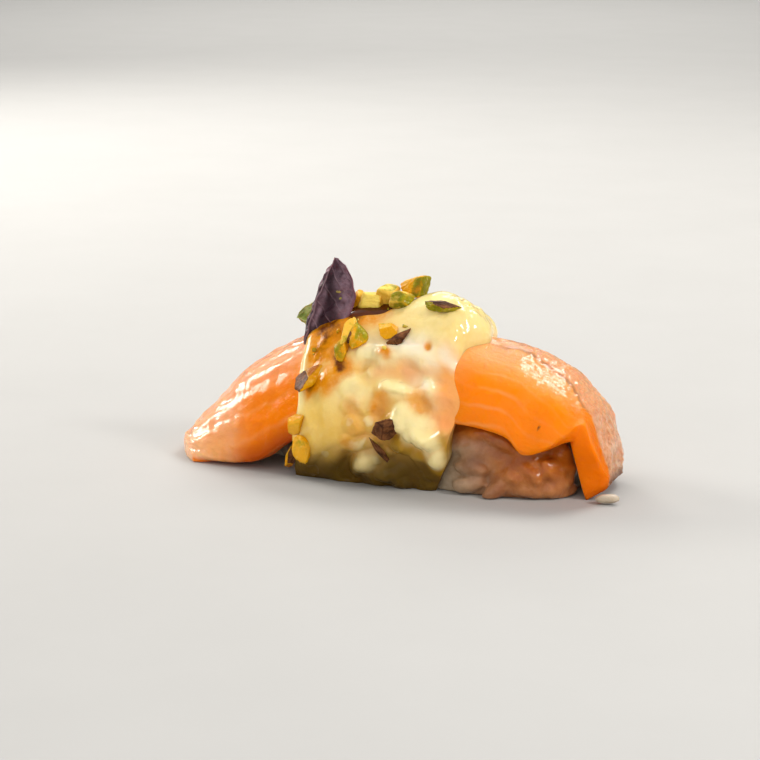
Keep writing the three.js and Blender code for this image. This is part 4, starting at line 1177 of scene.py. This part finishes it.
def mottle(vector, scale, contrast):
    """The mottle mask in a material."""
    return add_node(vector, "ShaderNodeGroup", {"node_tree": mottle_group}, Vector=vector, Scale=scale,
                    Contrast=contrast).outputs["Mask"]


def wet_skin(shader, vector, scale, dry, wet, strength, distance, extra=None):
    """The wet film on a material: roughness, and a bump of the fine unevenness plus any extra height."""
    group = add_node(vector, "ShaderNodeGroup", {"node_tree": wet_group}, Vector=vector, Scale=scale,
                     Dry=dry, Wet=wet).outputs
    height = group["Height"] if extra is None else plus(group["Height"], extra)
    bump = add_node(vector, "ShaderNodeBump", None, Strength=strength, Distance=distance, Height=height)
    fill(shader, Roughness=group["Roughness"], Normal=bump.outputs["Normal"])


# %% [markdown]
# Salmon is pale peach, and its light is partly painted into its colour: a paler top on the tongue and a paler
# tip where the light skims it, and a painted glow of orange where the slice is thin enough for light to come
# through. Painted shade darkens the tongue's lower edge, the flap's foot and the end of the cut face. Fat
# lines curve along it beside the grey line, and past that line the flesh is duller and pinker, with fibres
# that break up the highlights, and with painted shade in its pits and painted glints between them.

# %% Salmon
def salmon_material():
    """Raw salmon."""
    material, shader, place, line, along, down, low_shade, cut_face, speck = start_material(
        "raw_salmon", "grey_line", "along", "down", "low_shade", "cut_face", "speck")
    flow = add_node(place, "ShaderNodeUVMap", {"uv_map": "flow"}).outputs["UV"]
    line = plus(line, times(minus(noise(place, 160, 2), 0.5), 2.2))
    cloud = mottle(place, 110, 1.6)
    # Painted glow: orange that stands for light coming through the thin slice, on the flap's face and,
    # redder, on the tongue.
    tongue_glow = times(span(down, -0.30, -0.72), span(along, 0.13, 0.21))
    glow = larger(times(span(down, -0.22, -0.62), span(along, 0.44, 0.52)), tongue_glow)
    glow = times(glow, plus(times(cloud, 0.5), 0.75), True)
    # Painted light: the tongue's top is paler where the light skims it.
    tongue = times(span(along, 0.31, 0.25), span(down, -0.95, -0.35))
    bands = to_and_fro(plus(line, times(along, 3.0)), 1.7)
    fat = times(span(bands, 0.62, 0.0), mottle(place, 90, 3.4))
    right_part = span(along, 0.46, 0.56)
    skin_side = times(span(line, -0.2, 1.2), right_part)
    dull = blend(mottle(flow, 14, 2.4), (0.82, 0.28, 0.09), (0.95, 0.52, 0.30))
    # Dark pits and pale spots on the flap's skin side: painted shade in the pits and painted glints between
    # them, over its rough flesh.
    pit_shade_and_glints = blend(mottle(place, 850, 4.5), (0.52, 0.20, 0.10), (0.97, 0.68, 0.50))
    dull = blend(span(along, 0.74, 0.88, 0, 0.6), dull, pit_shade_and_glints)
    line_ends = times(span(along, 0.47, 0.52), span(along, 0.81, 0.77))
    thread = times(span(without_sign(line), 1.0, 0.15), line_ends)
    thread = times(thread, plus(mottle(place, 400, 3.0), 0.3))
    arcs = times(span(to_and_fro(line, 0.75), 0.30, 0.0), span(line, 4.5, 1.0))
    arcs = times(arcs, times(skin_side, mottle(place, 260, 3.0)))
    colour = layered(
        blend(cloud, (0.95, 0.34, 0.085), (0.97, 0.44, 0.16)),
        (times(tongue, 0.7), (0.95, 0.41, 0.23)),  # painted light: the tongue's top paler where the light skims it
        (glow, (1.0, 0.27, 0.0)),  # painted glow of light through the slice
        (times(tongue_glow, 0.7), (0.95, 0.20, 0.0)),  # painted glow, redder on the tongue
        (times(span(along, 0.12, 0.02), 0.6), (0.90, 0.50, 0.28)),  # painted highlight on the tip
        (low_shade, (0.46, 0.07, 0.0)),  # painted shade on the tongue's lower edge
        (times(fat, 0.2), (0.98, 0.56, 0.26)),  # fat lines
        (times(skin_side, 0.85), dull),  # the skin side
        (times(span(along, 0.94, 1.0, 0, 0.9), skin_side), (0.15, 0.06, 0.025)),  # painted shade, darker at the flap's foot
        (times(thread, 0.5, True), (0.25, 0.11, 0.06)),  # the grey line
        (times(arcs, 0.45), (0.34, 0.15, 0.08)),  # dark arcs past it
        # Cut faces in deep orange, with painted shade darker towards the flap's end.
        (cut_face, blend(span(along, 0.955, 1.0), (1.0, 0.20, 0.0), (0.60, 0.10, 0.0))),
        (speck, (0.10, 0.03, 0.01)),  # one dark speck
    )
    rough_side = times(span(line, -7.0, -1.0, 0.0, 2.2), right_part)
    fibre = times(noise(stretched(flow, 0.5, 1.6), 12, 4, 0.75), plus(rough_side, 0.25))
    matt = larger(glow, larger(cut_face, low_shade))
    broken = plus(mottle(stretched(flow, 0.45, 1.5), 10, 5.0), span(along, 0.34, 0.26, 0, 0.25), True)
    fill(shader, Base_Color=colour, Subsurface_Weight=0.45, Subsurface_Radius=(1.0, 0.35, 0.12),
         Subsurface_Scale=0.003, Specular_IOR_Level=0.08,
         Coat_Weight=times(span(matt, 0.0, 1.0, 0.95, 0.15), broken), Coat_Roughness=0.10)
    wet_skin(shader, place, 500, 0.34, 0.16, 0.6, 0.0005, fibre)
    return material


# %% [markdown]
# The sauce is pale yellow and milky. Where it is thin the salmon shows through as pink, and where the glaze
# has run over it, it turns amber. Its ridges are whiter, with a painted highlight in the milky band and along
# the left rim, and its lower part is a deeper yellow. Painted shade darkens it between the curds, in the
# creases, under the drip's lobes, at its foot and just below the nuts at its left rim.

# %% Cream sauce and glaze
def sauce_material():
    """Cream sauce."""
    material, shader, place, *fields = start_material(
        "cream", "mustard", "curdy", "pink", "pale", "milk_and_sheen", "amber", "crease", "foot_shade", "under", "film")
    mustard, curdy, pink, pale, milk_and_sheen, amber, crease, shade, under, film = fields
    cloud = mottle(place, 150, 2.4)
    cream = blend(cloud, (0.90, 0.66, 0.22), (0.93, 0.76, 0.34))
    rich = blend(cloud, (0.74, 0.40, 0.025), (0.90, 0.58, 0.09))
    # Curds are the round cells of a pattern whose coordinates noise has bent.
    shift = add_node(place, "ShaderNodeTexNoise", None, Vector=place, Scale=300, Detail=2).outputs["Color"]
    settings = {"operation": "MULTIPLY_ADD"}
    bent = add_node(place, "ShaderNodeVectorMath", settings, _0=shift, _1=(0.004,) * 3, _2=place).outputs[0]
    settings = {"feature": "SMOOTH_F1"}
    cells = add_node(place, "ShaderNodeTexVoronoi", settings, Vector=bent, Scale=330, Smoothness=0.7)
    curd = span(cells.outputs["Distance"], 0.62, 0.12)
    frayed = times(amber, plus(mottle(place, 420, 2.0), 0.55))
    colour = layered(
        blend(mustard, cream, rich),
        (times(curdy, span(curd, 0.55, 0.0, 0, 0.65)), (0.80, 0.46, 0.09)),  # painted shade between the curds
        (times(curdy, span(curd, 0.6, 1.0, 0, 0.6)), (0.97, 0.84, 0.46)),  # on the curds
        (times(pink, 0.95, True), (0.85, 0.345, 0.17)),  # salmon under thin sauce
        (pale, (0.95, 0.78, 0.37)),  # ridges and drips
        (milk_and_sheen, (0.95, 0.80, 0.60)),  # milky places, partly a painted highlight
        (span(frayed, 0.0, 0.5), (0.76, 0.27, 0.002)),  # a little glaze
        (span(frayed, 0.42, 0.95), (0.12, 0.024, 0.0)),  # much glaze
        (times(crease, 0.5), (0.88, 0.44, 0.10)),  # painted shade in the creases
        (times(shade, 0.93), (0.075, 0.036, 0.001)),  # the foot
        (times(under, 0.8), (0.46, 0.24, 0.006)),  # painted shade under the drip's lobes
        (times(film, minus(1.0, milk_and_sheen)), (0.97, 0.36, 0.08)),  # the film at the right rim
    )
    fill(shader, Base_Color=colour, Subsurface_Weight=0.4, Subsurface_Radius=(1.0, 0.8, 0.45),
         Subsurface_Scale=0.0011, Specular_IOR_Level=0.08,
         Coat_Weight=span(larger(amber, shade), 0.1, 0.9, 0.7, 0.05), Coat_Roughness=0.07)
    wet_skin(shader, place, 500, 0.32, 0.16, 0.5, 0.0004, times(curd, times(curdy, 1.6)))
    return material


def glaze_material():
    """Brown glaze, mottled dark brown."""
    material, shader, place = start_material("brown_glaze")
    colour = blend(mottle(place, 300, 2.0), (0.035, 0.008, 0.002), (0.16, 0.035, 0.003))
    fill(shader, Base_Color=colour, Subsurface_Weight=0.3, Subsurface_Radius=(1.0, 0.3, 0.08),
         Subsurface_Scale=0.001, Specular_IOR_Level=0.04, Coat_Weight=0.3, Coat_Roughness=0.05)
    wet_skin(shader, place, 600, 0.25, 0.12, 0.25, 0.0002)
    return material


# %% [markdown]
# Pistachio flesh runs from brown through butter yellow to deep green, and each broken face has a tone of its
# own, with a painted golden highlight along its arrises. The papery skin is a dull red brown with dark edges.

# %% Pistachio
def pistachio_material():
    """Chopped pistachio."""
    material, shader, place, tone, green_share, arris, skin = start_material(
        "pistachio_flesh", "tone", "green", "arris", "skin")
    cloud = mottle(place, 420, 2.6)
    green = blend(cloud, (0.10, 0.095, 0.002), (0.36, 0.31, 0.006))
    greener = span(plus(green_share, times(minus(cloud, 0.5), 0.6)), 0.3, 0.7)
    flesh = layered(
        blend(span(tone, 0.0, 0.4), (0.34, 0.085, 0.0), (0.76, 0.33, 0.0)),
        (span(tone, 0.4, 1.0), (0.93, 0.68, 0.13)),  # butter yellow
        (greener, green),
        (span(noise(place, 900, 3), 0.55, 0.75, 0, 0.3), (0.94, 0.76, 0.22)),  # pale crumbs
        (times(span(arris, 0.80, 1.0, 0, 0.7), mottle(place, 500, 3.0)), (0.58, 0.33, 0.008)),  # painted golden highlight along the arrises
    )
    husk = layered(
        blend(mottle(place, 900, 3.0), (0.045, 0.014, 0.005), (0.24, 0.09, 0.03)),
        (span(arris, 0.84, 1.0, 0, 0.75), (0.03, 0.008, 0.003)),  # arrises
    )
    husk_share = span(plus(skin, times(minus(noise(place, 600, 3), 0.5), 0.4)), -0.05, 0.05)
    fill(shader, Base_Color=blend(husk_share, flesh, husk), Subsurface_Weight=0.2,
         Subsurface_Radius=(1.0, 0.7, 0.2), Subsurface_Scale=0.001, Specular_IOR_Level=0.06,
         Coat_Weight=span(husk_share, 0.0, 1.0, 0.14, 0.04), Coat_Roughness=0.15)
    wet_skin(shader, place, 1400, 0.5, 0.3, 0.6, 0.0003)
    return material


# %% [markdown]
# Cooked rice is white and a little see-through, and its shade is painted into its colour: a warm painted
# shade under the salmon, as if lit through the slice, and a darker grey-brown painted shade at the front.

# %% Rice
def rice_material():
    """Cooked rice."""
    material, shader, place, painted_front_shade, warm_shade = start_material("cooked_rice", "front_part", "warm_shade")
    tone = mottle(place, 210, 2.6)
    dry = blend(tone, (0.72, 0.65, 0.52), (0.86, 0.81, 0.70))
    # wet is the colour of the painted shade at the front, and warm that of the painted warm shade under the
    # salmon.
    wet = blend(tone, (0.24, 0.165, 0.095), (0.50, 0.40, 0.28))
    warm = blend(tone, (0.32, 0.065, 0.0), (0.56, 0.165, 0.002))
    fill(shader, Base_Color=layered(dry, (painted_front_shade, wet), (times(warm_shade, 0.95), warm)),
         Subsurface_Weight=0.6, Subsurface_Radius=(1.0, 0.80, 0.60), Subsurface_Scale=0.0016,
         Specular_IOR_Level=0.12, Coat_Weight=0.35, Coat_Roughness=0.08)
    wet_skin(shader, place, 900, 0.34, 0.16, 0.6, 0.0003)
    return material


# %% [markdown]
# The purple leaf is nearly black at its foot, with a painted greyish sheen towards its tip and rim and a
# painted glint along its fold, and its veins are paler. The green leaf is thin, with the same painted sheen,
# and paler still at its rim.

# %% Leaves
def leaf_material(name, blade, shade, painted_sheen_colour, vein_colour, rim_colour):
    """A basil leaf: blade and shade mottled, a painted sheen, pale veins and rim, and a little nut dust."""
    material, shader, place, painted_sheen, vein, out, dust = start_material(name, "painted_sheen", "vein", "out", "dust")
    thread = times(span(vein, 0.20, 0.03), mottle(place, 260, 3.0))
    colour = layered(
        blend(mottle(place, 380, 2.4), blade, shade),
        # painted sheen
        (times(times(painted_sheen, mottle(place, 700, 1.6), True), 1.7, True), painted_sheen_colour),
        (times(larger(thread, span(out, 0.05, 0.02)), 0.85), vein_colour),
        (span(out, 0.92, 1.0, 0, 0.6), rim_colour),
        (span(times(dust, mottle(place, 1300, 5.0)), 0.2, 0.6), (0.36, 0.31, 0.06)),  # nut dust
    )
    fill(shader, Base_Color=colour, Subsurface_Weight=0.2, Subsurface_Radius=(1.0, 0.4, 0.4),
         Subsurface_Scale=0.0008, Specular_IOR_Level=0.10, Coat_Weight=0.12, Coat_Roughness=0.15)
    wet_skin(shader, place, 1100, 0.42, 0.22, 0.9, 0.0004)
    return material


materials = {
    "salmon": salmon_material(),
    "cream_sauce": sauce_material(),
    "glaze": glaze_material(),
    "pistachio": pistachio_material(),
    "rice": rice_material(),
    "purple_leaf": leaf_material("purple_basil", (0.012, 0.003, 0.006), (0.055, 0.020, 0.030),
                                 (0.24, 0.145, 0.18), (0.25, 0.15, 0.17), (0.14, 0.035, 0.05)),
    "green_leaf": leaf_material("green_basil", (0.22, 0.30, 0.05), (0.36, 0.44, 0.12),
                                (0.42, 0.50, 0.18), (0.52, 0.58, 0.28), (0.62, 0.64, 0.36)),
}

# %% Every piece rides, replaces its node and takes its finish
DRESSED = [
    # piece, the node that it stands for, its slot
    (salmon, "salmon_slice", "salmon"),
    (sauce, "cream_sauce", "cream_sauce"),
    (nuts, "cream_sauce", "pistachio"),
    (crumbs, "cream_sauce", "pistachio"),
    (glaze, "cream_sauce", "glaze"),
    (rice, "rice", "rice"),
    (loose_grain, "rice", "rice"),
    (purple_leaf, "purple_leaf", "purple_leaf"),
    (green_leaf, "green_leaf", "green_leaf"),
]
for piece, node_name, slot in DRESSED:
    piece.data.materials.append(materials[slot])
    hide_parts(node_name)
    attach(piece, "root")
print("dressed pieces:", sorted(piece.name for piece, _, _ in DRESSED))

# %% [markdown]
# ## Floor, light and camera
#
# The floor is a plain pale sheet. Wet food is drawn by its highlights, so soft square lights stand high
# behind it, far out on its left side and behind on the left, and a small one like a window hangs on the
# right. A weak broad one in front fills the shadows, one more hangs over the far floor, and a sun with a
# wide disc lights the floor evenly to its end. The camera looks from a little above and from the right of
# straight ahead, through a long lens.

# %% Floor
FLOOR_HALF = 3000.0
FLOOR_UNDER = -0.02  # just below the food, so that the two faces don't share a plane
corners = FLOOR_HALF * np.array([[-1, -1, 0], [1, -1, 0], [1, 1, 0], [-1, 1, 0]]) + [0, 0, FLOOR_UNDER]
floor = make_piece("floor", corners, np.array([[0, 1, 2, 3]]))
material, shader, place = start_material("pale_floor")
floor_colour = blend(mottle(place, 30, 1.0), (0.46, 0.45, 0.43), (0.49, 0.48, 0.46))
fill(shader, Base_Color=floor_colour, Roughness=0.9, Specular_IOR_Level=0.0)
floor.data.materials.append(material)


# %% Lights
WARM, MILD, WHITE = (1.0, 0.98, 0.95), (1.0, 0.99, 0.97), (1.0, 1.0, 1.0)
SOFT_LIGHTS = {
    # place, the point that it faces, width, watts, colour; millimetres
    "back_top": ((130, 330, 490), (5, 0, 17), 240, 2.0, WARM),
    "left_side": ((-560, 70, 250), (-20, 0, 12), 240, 2.4, WARM),
    "back_left": ((-380, 420, 330), (-5, 0, 15), 180, 1.3, WARM),
    "front_fill": ((60, -600, 360), (0, 0, 12), 1200, 4.9, MILD),
    "right_window": ((380, -80, 265), (10, 0, 20), 85, 0.95, WHITE),
    "far_wash": ((-360, 900, 420), (-360, 895, 0), 700, 3.4, MILD),
}


def add_light(name, kind, energy, way):
    """A light of a kind that shines along a direction."""
    data = bpy.data.lights.new(name, kind)
    data.energy = energy
    light = bpy.data.objects.new(name, data)
    bpy.context.scene.collection.objects.link(light)
    light.rotation_euler = Vector(way).to_track_quat("-Z", "Y").to_euler()
    return light


for name, (stand, target, width, watts, colour) in SOFT_LIGHTS.items():
    light = add_light(name, "AREA", watts, Vector(target) - Vector(stand))
    light.location = Vector(stand) * MM
    light.data.size = width * MM
    light.data.color = colour
add_light("sky_light", "SUN", 0.65, (0.4, -0.3, -0.9)).data.angle = math.radians(60)
world = bpy.data.worlds.new("pale_room")
world.use_nodes = True
fill(world.node_tree.nodes["Background"], Color=(0.80, 0.82, 0.85, 1), Strength=0.14)
bpy.context.scene.world = world
bpy.context.scene.view_settings.view_transform = "Standard"
print("lights:", ", ".join([*SOFT_LIGHTS, "sky_light"]))

# %% Camera
CAMERA_TURN = math.radians(22)
CAMERA_RISE = math.radians(13)
CAMERA_AWAY = 400.0
LOOK_AT = np.array([0.0, 0.0, 17.0])
AIM_OFF = (-5.42, -1.36)  # millimetres right and up from the point that the lens looks at
LENS = 111.8
SENSOR = 36
level = math.cos(CAMERA_RISE)
back = np.array([math.sin(CAMERA_TURN) * level, -math.cos(CAMERA_TURN) * level, math.sin(CAMERA_RISE)])
right = np.array([math.cos(CAMERA_TURN), math.sin(CAMERA_TURN), 0])
stand = LOOK_AT + back * CAMERA_AWAY
aim = LOOK_AT + right * AIM_OFF[0] + np.cross(back, right) * AIM_OFF[1]
camera_data = bpy.data.cameras.new("camera")
camera_data.lens = LENS
camera_data.sensor_width = SENSOR
camera_data.clip_start = 0.01
camera = bpy.data.objects.new("camera", camera_data)
bpy.context.scene.collection.objects.link(camera)
camera.location = Vector(stand * MM)
camera.rotation_euler = Vector((aim - stand) * MM).to_track_quat("-Z", "Y").to_euler()
bpy.context.scene.camera = camera
print("camera at", np.round(stand), "mm, looking at", np.round(aim, 1))
